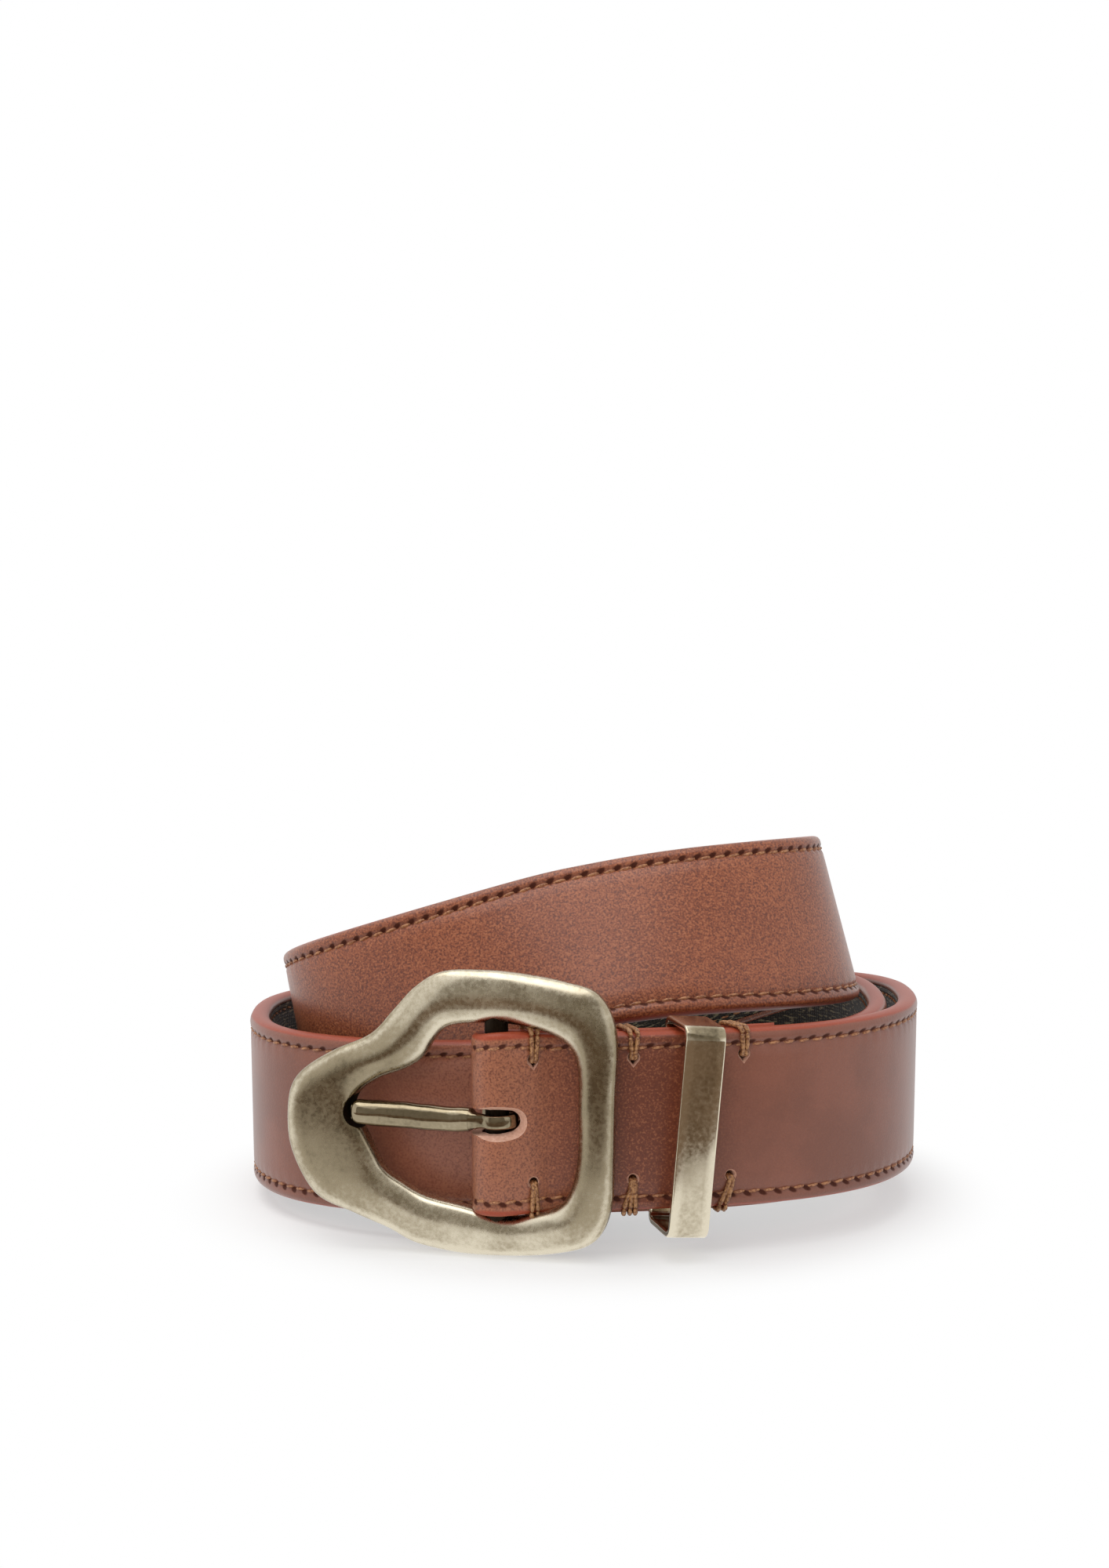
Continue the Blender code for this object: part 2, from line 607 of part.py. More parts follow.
def frame_rings():
    """Cross-sections of the cast frame, in the frame's own plane (x along, z up)."""
    count = len(FRAME_STATIONS)

    def spline(column, index, t):
        a, b, c, d = (column[(index + k) % count] for k in (-1, 0, 1, 2))
        return 0.5 * (2 * b + (c - a) * t + (2 * a - 5 * b + 4 * c - d) * t * t
                      + (3 * b - a - 3 * c + d) * t ** 3)

    inner_x = [x * MM for x, _, _ in FRAME_STATIONS]
    inner_z = [z * HALF_OPENING for _, z, _ in FRAME_STATIONS]
    outer_x = [x + w * MM * math.cos(math.radians(a))
               for x, w, (_, _, a) in zip(inner_x, RAIL_WIDTHS, FRAME_STATIONS)]
    outer_z = [z + w * MM * math.sin(math.radians(a))
               for z, w, (_, _, a) in zip(inner_z, RAIL_WIDTHS, FRAME_STATIONS)]
    rings = []
    for index in range(count):
        for step in range(FRAME_SUBSTEPS):
            t = step / FRAME_SUBSTEPS
            inner = Vector((spline(inner_x, index, t), 0.0, spline(inner_z, index, t)))
            outer = Vector((spline(outer_x, index, t), 0.0, spline(outer_z, index, t)))
            middle = (inner + outer) / 2
            half = (outer - inner) / 2
            ring = []
            for side in range(FRAME_SIDES):
                angle = 2 * math.pi * side / FRAME_SIDES
                c, s = math.cos(angle), math.sin(angle)
                wide = math.copysign(abs(c) ** 0.85, c)
                deep = math.copysign(abs(s) ** 0.75, s)
                ring.append(middle + half * wide + Vector((0.0, -FRAME_DEPTH / 2 * deep, 0.0)))
            rings.append(ring)
    return rings


def prong_line():
    """The prong's middle line in the frame's plane, from its tip to the end of its curl."""
    tip_x = (FRAME_STATIONS[0][0] + 0.3) * MM
    curl = BAR_DIAMETER / 2 + SEAT_GAP + PRONG_NECK_THICKNESS / 2
    shank_y = -curl + PRONG_SINK
    shoulder = -curl - 0.8 * MM
    line = []
    length = shoulder - tip_x
    for share, size in ((0.0, 0.45), (0.012, 0.75), (0.04, 0.94), (0.09, 1.0), (0.25, 1.0),
                        (0.45, 0.97), (0.62, 1.0), (0.8, 0.95), (0.93, 0.92), (0.985, 0.86)):
        x = tip_x + length * share
        line.append((x, shank_y, PRONG_TIP_RISE * (1 - share),
                     PRONG_WIDTH * size, PRONG_THICKNESS * size))
    line.append((shoulder + 0.4 * MM, shank_y - 0.3 * MM, 0.0,
                 PRONG_NECK_WIDTH * 1.1, PRONG_NECK_THICKNESS * 1.7))
    for degrees in range(125, -151, -25):
        angle = math.radians(degrees)
        line.append((curl * math.cos(angle), -curl * math.sin(angle), 0.0,
                     PRONG_NECK_WIDTH, PRONG_NECK_THICKNESS))
    return line


def build_prong(belt, material):
    line = prong_line()
    rings = []
    for i, (x, y, z, width, thickness) in enumerate(line):
        before, after = line[max(i - 1, 0)], line[min(i + 1, len(line) - 1)]
        along = Vector((after[0] - before[0], after[1] - before[1], 0.0)).normalized()
        normal = Vector((along.y, -along.x, 0.0))
        point = Vector((x, y, z))
        flat = 1.0 if width > PRONG_NECK_WIDTH * 1.05 else 0.55
        ring = []
        for side in range(12):
            angle = 2 * math.pi * side / 12
            c, s = math.cos(angle), math.sin(angle)
            wide = math.copysign(abs(c) ** flat, c) * width / 2
            deep = math.copysign(abs(s) ** flat, s) * thickness / 2
            ring.append(point + UP * wide + normal * deep)
        rings.append(ring)
    item = add_object("prong", loft("prong", rings), material)
    item.location = belt.bar
    item.rotation_euler.z = -FRAME_SWING
    return item


def build_frame(belt, material):
    item = add_object("buckle_frame", loft("buckle_frame", frame_rings(), closed=True), material)
    item.location = belt.bar
    item.rotation_euler.z = -FRAME_SWING
    bpy.context.view_layer.update()
    tip_x, tip_y, tip_z, _, _ = prong_line()[0]
    floor = tip_y + PRONG_THICKNESS / 2 + SEAT_GAP
    outline = stadium(tip_x - NOTCH_ROOM, tip_x + 2 * FRAME_DEPTH, PRONG_WIDTH + NOTCH_ROOM)
    flat = axes(Vector((1.0, 0.0, 0.0)), UP, Vector((0.0, -1.0, 0.0)), Vector((0.0, 0.0, tip_z)))
    cutters = [(prism("notch", outline, -floor, FRAME_DEPTH), item.matrix_world @ flat)]
    radius = BAR_DIAMETER / 2 + SOCKET_GAP
    foot, head = bar_ends()
    bore = prism("bore", circle(radius, BAR_SIDES), foot - SOCKET_GAP, head + SOCKET_GAP)
    cutters.append((bore, item.matrix_world.copy()))
    local = item.matrix_world.inverted()
    cut(item, "frame_cuts", [(mesh, local @ matrix) for mesh, matrix in cutters])
    return item


def bar_ends():
    """Heights of the bar's two ends from its middle, inside the frame's rails."""
    foot = FRAME_STATIONS[BAR_FOOT_STATION][1] * HALF_OPENING - BAR_SOCKET_DEPTH
    head = FRAME_STATIONS[BAR_TOP_STATION][1] * HALF_OPENING + BAR_SOCKET_DEPTH
    return foot, head


def build_bar(belt, material):
    foot, head = bar_ends()
    bar = prism("centre_bar", circle(BAR_DIAMETER / 2, BAR_SIDES), foot, head)
    item = add_object("centre_bar", bar, material)
    item.location = belt.bar
    item.rotation_euler.z = -FRAME_SWING
    return item


# ------------------------------------------------------------------ the whole belt
def stand_on_origin():
    """Move everything so that the belt stands on the origin with its box centred there."""
    depsgraph = bpy.context.evaluated_depsgraph_get()
    points = []
    for item in bpy.data.objects:
        if not item.hide_render:
            solid = item.evaluated_get(depsgraph)
            points += [solid.matrix_world @ vertex.co for vertex in solid.data.vertices]
    low, high = (Vector([end(point[i] for point in points) for i in range(3)])
                 for end in (min, max))
    middle = (low + high) / 2
    for item in bpy.data.objects:
        item.location -= Vector((middle.x, middle.y, low.z))


def main():
    clear_scene()
    brass = make_material("antique_brass", (0.36, 0.31, 0.20), 0.36, 1.0)
    hide = make_material("tan_leather", (0.27, 0.105, 0.055), 0.55)
    cloth = make_material("lining_fabric", (0.10, 0.09, 0.06), 0.9)
    thread = make_material("waxed_thread", (0.30, 0.17, 0.08), 0.5)
    belt = Belt()
    leather = build_leather(belt, hide)
    lining = build_lining(belt, cloth)
    cut_strap(belt, leather, lining)
    for number, (upper, lower) in enumerate(zip(UPPER_LASHINGS, LOWER_LASHINGS), start=1):
        build_lashing(belt, f"lashing_{number}_top", upper, 1, thread)
        build_lashing(belt, f"lashing_{number}_bottom", lower, -1, thread)
    build_keeper(belt, brass)
    build_frame(belt, brass)
    build_bar(belt, brass)
    build_prong(belt, brass)
    stand_on_origin()


main()
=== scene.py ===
# Looks of a tan leather belt with a cast antique-brass buckle, coiled on its edge.
# Units are metres and +Z is up.  "Place" is the distance along the strap from the bar.
import bisect
import math
from functools import partial

import bmesh
import bpy
from mathutils import Matrix, Vector, noise


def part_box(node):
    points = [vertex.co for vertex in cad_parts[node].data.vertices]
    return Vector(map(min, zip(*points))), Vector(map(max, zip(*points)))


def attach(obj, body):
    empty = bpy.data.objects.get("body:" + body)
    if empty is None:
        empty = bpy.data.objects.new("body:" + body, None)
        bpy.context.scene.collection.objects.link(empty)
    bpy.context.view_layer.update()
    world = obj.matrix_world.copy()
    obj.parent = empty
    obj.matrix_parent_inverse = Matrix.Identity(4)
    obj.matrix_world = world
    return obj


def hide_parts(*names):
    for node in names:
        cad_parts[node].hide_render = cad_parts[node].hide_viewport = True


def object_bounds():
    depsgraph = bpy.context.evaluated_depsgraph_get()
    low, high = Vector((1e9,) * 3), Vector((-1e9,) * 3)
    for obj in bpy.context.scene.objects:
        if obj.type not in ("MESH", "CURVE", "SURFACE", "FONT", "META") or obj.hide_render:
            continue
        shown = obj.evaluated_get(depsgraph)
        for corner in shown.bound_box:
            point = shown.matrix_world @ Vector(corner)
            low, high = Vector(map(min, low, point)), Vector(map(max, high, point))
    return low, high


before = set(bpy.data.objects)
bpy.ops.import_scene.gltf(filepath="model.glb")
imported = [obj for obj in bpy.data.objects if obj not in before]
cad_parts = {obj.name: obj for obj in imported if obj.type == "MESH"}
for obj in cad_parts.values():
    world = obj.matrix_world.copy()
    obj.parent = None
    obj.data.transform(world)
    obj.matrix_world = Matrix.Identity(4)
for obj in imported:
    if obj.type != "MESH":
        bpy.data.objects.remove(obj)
cad_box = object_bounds()

MM = 0.001
UP = Vector((0.0, 0.0, 1.0))

# ------------------------------------------------------------------ sizes of the CAD part
STRAP_WIDTH = 35.0 * MM
STRAP_LENGTH = 1030.0 * MM
LEATHER_THICKNESS = 2.4 * MM
LINING_THICKNESS = 1.5 * MM
TAIL_THICKNESS = 1.6 * MM
TAIL_LENGTH = 55.0 * MM
GLUE_LINE = 0.1 * MM
POINT_LENGTH = 24.0 * MM
POINT_WIDTH = 9.0 * MM
ADJUSTING_HOLES = 5
HOLE_DIAMETER = 5.5 * MM
HOLE_PITCH = 25.0 * MM
FIRST_HOLE = 75.0 * MM
COIL_BREADTH = 139.4 * MM
COIL_DEPTH = 116.0 * MM
COIL_LEAD = 3.1 * MM
COIL_SQUARENESS = 2.5
UPPER_SQUARENESS = 2.15
BAR_PLACE = -16.4 * MM
FOLD_LEAD = 13.0 * MM
BAR_DIAMETER = 4.5 * MM
BAR_SOCKET_DEPTH = 3.2 * MM
FRAME_DEPTH = 6.0 * MM
FRAME_SIDE_ROOM = 2.5 * MM
FRAME_SWING = math.radians(14.0)
PRONG_WIDTH = 5.1 * MM
PRONG_THICKNESS = 4.6 * MM
PRONG_NECK_WIDTH = 2.8 * MM
PRONG_NECK_THICKNESS = 1.6 * MM
PRONG_SINK = 0.9 * MM
PRONG_TIP_RISE = 1.3 * MM
NOTCH_ROOM = 1.8 * MM
SLOT_REACH = 5.6 * MM
KEEPER_BAND = 7.9 * MM
KEEPER_WALL = 1.3 * MM
KEEPER_CORNER = 1.2 * MM
KEEPER_ROOM_FRONT = 5.4 * MM
KEEPER_REAR_ROOM = 2.5 * MM
KEEPER_ROOM_BELOW = 3.0 * MM
KEEPER_PLACE = 35.8 * MM
KEEPER_TILT = math.radians(4.8)
KEEPER_TURN = math.radians(5.0)
UPPER_LASHINGS = (6.0 * MM, 25.6 * MM, 46.8 * MM)
LOWER_LASHINGS = (6.0 * MM, 25.6 * MM, 44.4 * MM)
LASHING_THICKNESS = 0.8 * MM
SEAT_GAP = 0.3 * MM
HEEL_GAP = 0.8 * MM
FOLD_SLACK = 0.6 * MM
THREAD_GAP = 0.2 * MM
TURN_GAP = 0.5 * MM

STRAP_THICKNESS = LEATHER_THICKNESS + GLUE_LINE + LINING_THICKNESS
STACK_THICKNESS = STRAP_THICKNESS + GLUE_LINE + TAIL_THICKNESS
FOLD_RADIUS = BAR_DIAMETER / 2 + FOLD_SLACK
HALF_THICK = STRAP_THICKNESS / 2
HALF_WIDE = STRAP_WIDTH / 2

# ------------------------------------------------------------------ sizes of the finish
STITCH_PITCH = 3.2 * MM
STITCH_STEPS = 4                    # rings of the strap to a stitch
THREAD_RADIUS = 0.3 * MM
STITCH_SLANT = 0.2 * MM
THREAD_BED = 0.4 * MM               # how deep the thread lies in the leather,
FOLD_THREAD_BED = 0.22 * MM         # where the leather turns at the bar,
LINING_THREAD_BED = 0.34 * MM       # and in the lining
PINCH = 0.13                        # how far a stitch hole is drawn in, in half thicknesses
STRAND_RADIUS = 0.45 * MM
SEWN_FROM = -2.2 * STITCH_PITCH     # the rows start as the leather turns round the bar
SLIT_INSETS = {1: 5.0 * MM, -1: 6.1 * MM}    # from the upper and lower edge to the thread
FOLD_FINE_STEPS = 40
LINING_INSET = 1.55 * MM            # the painted edge laps this far over the lining
LINING_FLOOR = 0.6 * MM
FOLD_RISE = 0.9 * MM                # the fold stands up over the rest of the strap
UNDULATION = 0.12 * MM              # how far the hand-laid leather waves
WAVE_SPAN = 22.0 * MM               # and the span of its waves
TAIL_STEP = 1.2 * MM                # between the sections of the folded-back tail
LINING_STEP = 1.6 * MM              # and those of the lining
LINING_SLACK = 0.05 * MM            # between the lining and its bed
LINING_CHANNEL = 0.55 * MM          # from its stitches to either side of their channel
LINING_DRAWN_IN = 0.28 * MM         # how far the stitches draw it in
LINING_BULGE = 0.04 * MM
STITCH_ROW = 3.93                   # millimetres round the painted edge to the stitches
EDGE_LAP = 1.9                      # and to the paint's end, from the edge's middle
SKIVE = 6.0 * MM                    # the lining thins out over this, before the fold
TAIL_ROUND = 0.8 * MM               # the strap's ends are rounded over these lengths
POINT_ROUND = 1.6 * MM
POINT_BLUNTNESS = 2.2               # 2 draws the strap's point as an ellipse
LIP_BEVEL = 0.8 * MM                # of the prong slot
CORD_TWIST = 1.1 * MM               # along a lashing's strand, for one turn of its plies
CORD_BENDS = (1.3 * MM, 1.3 * MM, 0.7 * MM, 0.7 * MM)   # twice at the edge, twice in the slit
CORD_STEP = 0.35 * MM
CORD_WANDER = 0.08 * MM
FRAME_ROUNDING = 2.9 * MM           # of the rail's edges; a wide rail is flatter between
RAIL_DEPTH_POWER = 0.68             # how square the rail is from front to back: 1 is round
CAST_RIPPLE = 0.10 * MM             # how far the casting wanders from a true surface
HAMMER_RIPPLE = 0.24 * MM           # and the prong, which was hammered
KEEPER_RIPPLE = 0.05 * MM
CAST_SPAN = 9.0 * MM                # the spans of those ripples
HAMMER_SPAN = 4.5 * MM
NOTCH_DEEPER = 1.0 * MM
PRONG_LIFT = 0.8 * MM               # the prong sits over the bar's middle
KEEPER_FRONT_CORNER = 1.3 * MM
KEEPER_RIM = 0.38 * MM              # radius worn on its rims
KEEPER_CROWN = 0.04 * MM            # rise of its face
KEEPER_STEP = 1.5 * MM


# ------------------------------------------------------------------ small helpers
def hermite(knots, values, at):
    """Smooth curve through values at rising knots, level beyond the ends."""
    last = len(knots) - 1
    at = min(max(at, knots[0]), knots[-1])
    index = min(max(bisect.bisect_right(knots, at) - 1, 0), last - 1)

    def slope(i):
        low, high = max(i - 1, 0), min(i + 1, last)
        return (values[high] - values[low]) / (knots[high] - knots[low])

    span = knots[index + 1] - knots[index]
    t = (at - knots[index]) / span
    return ((2 * t ** 3 - 3 * t ** 2 + 1) * values[index]
            + (t ** 3 - 2 * t ** 2 + t) * span * slope(index)
            + (3 * t ** 2 - 2 * t ** 3) * values[index + 1]
            + (t ** 3 - t ** 2) * span * slope(index + 1))


def spline(a, b, c, d, t):
    """Value between b and c, on the smooth curve through four even steps."""
    return 0.5 * (2 * b + (c - a) * t + (2 * a - 5 * b + 4 * c - d) * t * t
                  + (3 * b - a - 3 * c + d) * t ** 3)


def ease(low, high, value):
    """Smooth step from 0 at low to 1 at high."""
    t = min(max((value - low) / (high - low), 0.0), 1.0)
    return t * t * (3 - 2 * t)


def squared_off(value, power):
    """A sine or cosine of a round section, pushed out towards a square one."""
    return math.copysign(abs(value) ** power, value)


def spoke(angle):
    return Vector((math.cos(angle), math.sin(angle), 0.0))


def axes(x_axis, y_axis, z_axis, origin):
    """Matrix that carries the unit axes to the three given ones."""
    matrix = Matrix((x_axis, y_axis, z_axis)).transposed().to_4x4()
    matrix.translation = origin
    return matrix


def add_object(name, data):
    item = bpy.data.objects.new(name, data)
    bpy.context.collection.objects.link(item)
    return item


def smooth_piece(name, points, faces, laid=None, sharp=60.0):
    """Smooth-shaded object; laid holds for each point its pair on the finish's map."""
    mesh = bpy.data.meshes.new(name)
    mesh.from_pydata(points, [], faces)
    shape = bmesh.new()
    shape.from_mesh(mesh)
    bmesh.ops.recalc_face_normals(shape, faces=shape.faces)
    if laid:
        layer = shape.loops.layers.uv.new("laid")
        for face in shape.faces:
            for loop in face.loops:
                loop[layer].uv = laid[loop.vert.index]
    shape.to_mesh(mesh)
    shape.free()
    mesh.shade_smooth()
    mesh.set_sharp_from_angle(angle=math.radians(sharp))
    return add_object(name, mesh)


def skin(name, rings, maps, closed=False, sharp=60.0):
    """Piece over a row of point rings; an open row gets a cap at each end."""
    count = len(rings[0])
    points = [point for ring in rings for point in ring]
    faces = []
    for i in range(len(rings) - (0 if closed else 1)):
        one, two = i * count, (i + 1) % len(rings) * count
        for k in range(count):
            m = (k + 1) % count
            faces.append((one + k, one + m, two + m, two + k))
    if not closed:
        faces.append(tuple(range(count)))
        faces.append(tuple(range(len(points) - 1, len(points) - count - 1, -1)))
    return smooth_piece(name, points, faces, [pair for laid in maps for pair in laid], sharp)


def finish_piece(item, material, body, slot, *nodes):
    """Give a piece its material and the body that it rides on, and hide the nodes it replaces;
    slot is not used.
    """
    item.data.materials.append(material)
    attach(item, body)
    if nodes:
        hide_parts(*nodes)


def rounded_corners(corners, radii, start, turn, steps):
    """Each point round a rectangle's corners, as the round's centre, radius and angle.

    start and turn are in quarter turns.
    """
    middle = [(one + two) / 2 for one, two in zip(corners[0], corners[2])]
    for index, (corner, radius) in enumerate(zip(corners, radii)):
        centre = [value - math.copysign(radius, value - mid)
                  for value, mid in zip(corner, middle)]
        for i in range(steps + 1):
            yield centre, radius, math.pi / 2 * (start + turn * (index + i / steps))


def divided(track, step):
    """A closed track of (x, y, angle, ...) with points added about a step apart.

    A point that is added keeps the angle before it, as it lies on a straight.
    """
    fine = []
    for one, two in zip(track, track[1:] + track[:1]):
        pieces = max(round(math.dist(one[:2], two[:2]) / step), 1)
        for i in range(pieces):
            t = i / pieces
            point = [a + (b - a) * t for a, b in zip(one, two)]
            point[2] = one[2]
            fine.append(point)
    return fine


def round_end(end, width, sides=12):
    """Half a circle that ends an outline at X = end, from -Y round to +Y."""
    radius = width / 2
    turn = [math.pi * i / sides for i in range(sides + 1)]
    return [(end - radius + radius * math.sin(a), -radius * math.cos(a)) for a in turn]


def stadium(start, end, width, sides=12):
    """Outline with round ends, along X from start to end."""
    return (round_end(end, width, sides)
            + [(-x, -y) for x, y in round_end(-start, width, sides)])


def keyhole(corners, end, width):
    """Outline narrowing along X through corners of (place, half width) to a round end."""
    return ([(x, -half) for x, half in corners] + round_end(end, width)
            + [(x, half) for x, half in reversed(corners)])


def teardrop(length, width, sides=10):
    """Outline of a slit that a thread has pulled to a drop, its tip down at -Y."""
    outline = [(0.0, -length / 2)]
    for i in range(sides + 1):
        angle = -0.25 + (math.pi + 0.5) * i / sides
        outline.append((width / 2 * math.cos(angle), length / 4 + width / 2 * math.sin(angle)))
    return outline


def spread(outline, by):
    """Outline moved outwards all round."""
    moved = []
    for i, (x, y) in enumerate(outline):
        (ax, ay), (bx, by_) = outline[i - 1], outline[(i + 1) % len(outline)]
        normal = Vector((by_ - ay, ax - bx)).normalized()
        moved.append((x + normal.x * by, y + normal.y * by))
    return moved


def carve(target, cutters, raw):
    """Cut lofted tools, each (matrix, layers of (height, outline)), out of a piece."""
    shape = bmesh.new()
    for matrix, layers in cutters:
        rows = [[shape.verts.new(matrix @ Vector((x, y, height))) for x, y in outline]
                for height, outline in layers]
        for one, two in zip(rows, rows[1:]):
            for i in range(len(one)):
                j = (i + 1) % len(one)
                shape.faces.new((one[i], one[j], two[j], two[i]))
        shape.faces.new(rows[0])
        shape.faces.new(rows[-1])
    bmesh.ops.recalc_face_normals(shape, faces=shape.faces)
    mesh = bpy.data.meshes.new("cutters")
    shape.to_mesh(mesh)
    shape.free()
    mesh.materials.append(raw)
    tool = add_object("cutters", mesh)
    modifier = target.modifiers.new("carve", "BOOLEAN")
    for key, value in (("operation", "DIFFERENCE"), ("solver", "EXACT"),
                       ("material_mode", "TRANSFER"), ("object", tool)):
        setattr(modifier, key, value)
    bpy.context.view_layer.update()
    graph = bpy.context.evaluated_depsgraph_get()
    carved = bpy.data.meshes.new_from_object(target.evaluated_get(graph))
    target.modifiers.clear()
    target.data = carved
    bpy.data.objects.remove(tool, do_unlink=True)


# ------------------------------------------------------------------ the coil's path
class Station:
    """A cross-section of the strap: its middle and its axes along, up and outwards."""

    def __init__(self, point, along, lean=0.0):
        self.point = point
        self.along = along.normalized()
        self.lean = lean
        axis = UP - self.along.cross(UP).normalized() * lean
        self.up = (axis - self.along * axis.dot(self.along)).normalized()
        self.out = self.along.cross(self.up)

    def at(self, up, out):
        return self.point + self.up * up + self.out * out


# At each quarter turn from the buckle on: the height of the strap's lower edge, its
# slope inwards over the coil, and its extra room to the turn outside it.
EDGE_HEIGHTS = (7.6 * MM, 5.6 * MM, -1.25 * MM, 1.6 * MM,
                4.4 * MM, 5.2 * MM, 5.0 * MM, 13.6 * MM,
                STRAP_WIDTH + 5.2 * MM, STRAP_WIDTH + 3.6 * MM, 14.4 * MM, 9.4 * MM,
                8.0 * MM, 8.0 * MM)
LEANS = (0.0, 0.0, 0.0, 0.0, 0.0, 0.0, 0.0, -0.18, 0.66, 0.26, 0.05, 0.0, 0.0, 0.0)
TIPPING_ROOM = STRAP_WIDTH / 2 * (LEANS[9] + LEANS[10]) / 2
TURN_ROOM = (0.0, 0.0, 0.0, 0.0, 0.0, 1.9 * MM, 1.0 * MM, 2.0 * MM,
             0.0, 0.8 * MM, 1.0 * MM + TIPPING_ROOM, 6.0 * MM, 4.0 * MM)
LAID_QUARTERS = 18


def coil_reaches():
    """Reach of the strap's middle plane from the coil's axis at each quarter turn."""
    pitch = STRAP_THICKNESS + TURN_GAP
    keeper_depth = KEEPER_WALL + KEEPER_BAND * math.sin(KEEPER_TURN) + KEEPER_REAR_ROOM
    front = COIL_DEPTH / 2 + COIL_LEAD - HALF_THICK
    side = COIL_BREADTH / 2 - HALF_THICK
    back = COIL_DEPTH / 2 - COIL_LEAD - HALF_THICK
    reaches = [front, side, back, side, front - STACK_THICKNESS - keeper_depth]
    for quarter in range(len(reaches), LAID_QUARTERS):
        lean = LEANS[quarter] if quarter < len(LEANS) else 0.0
        room = TURN_ROOM[quarter] if quarter < len(TURN_ROOM) else TURN_GAP
        overhang = HALF_WIDE * abs(lean) / math.hypot(1.0, lean)
        reaches.append(reaches[quarter - 4] - pitch - overhang - room)
    return reaches


def coil_path():
    """Points on the strap's middle line, each with its lean, closely spaced."""
    reaches = coil_reaches()
    knots = [0.25 * i for i in range(len(reaches))]
    reach_knots = [-0.25] + knots
    reaches = [reaches[1]] + reaches
    height_knots = [-0.25, -0.1, 0.0, 0.09] + knots[1:len(EDGE_HEIGHTS)]
    heights = EDGE_HEIGHTS[:1] * 4 + EDGE_HEIGHTS[1:]
    path = []
    steps = 720
    for i in range(int(-0.03 * steps), int(knots[-1] * steps) + 1):
        turn = i / steps
        angle = 2 * math.pi * turn
        across = hermite(reach_knots[0::2], reaches[0::2], turn)
        ahead = hermite(reach_knots[1::2], reaches[1::2], turn)
        share = min(max((turn - 1.5) / 0.25, 0.0), 1.0)
        power = COIL_SQUARENESS + (UPPER_SQUARENESS - COIL_SQUARENESS) * share
        radius = (abs(math.sin(angle) / across) ** power
                  + abs(math.cos(angle) / ahead) ** power) ** (-1 / power)
        lean = hermite(knots[:len(LEANS)], LEANS, turn)
        height = hermite(height_knots, heights, turn) + HALF_WIDE / math.hypot(1.0, lean)
        point = Vector((radius * math.sin(angle), -radius * math.cos(angle), height))
        path.append((point, lean))
    return path


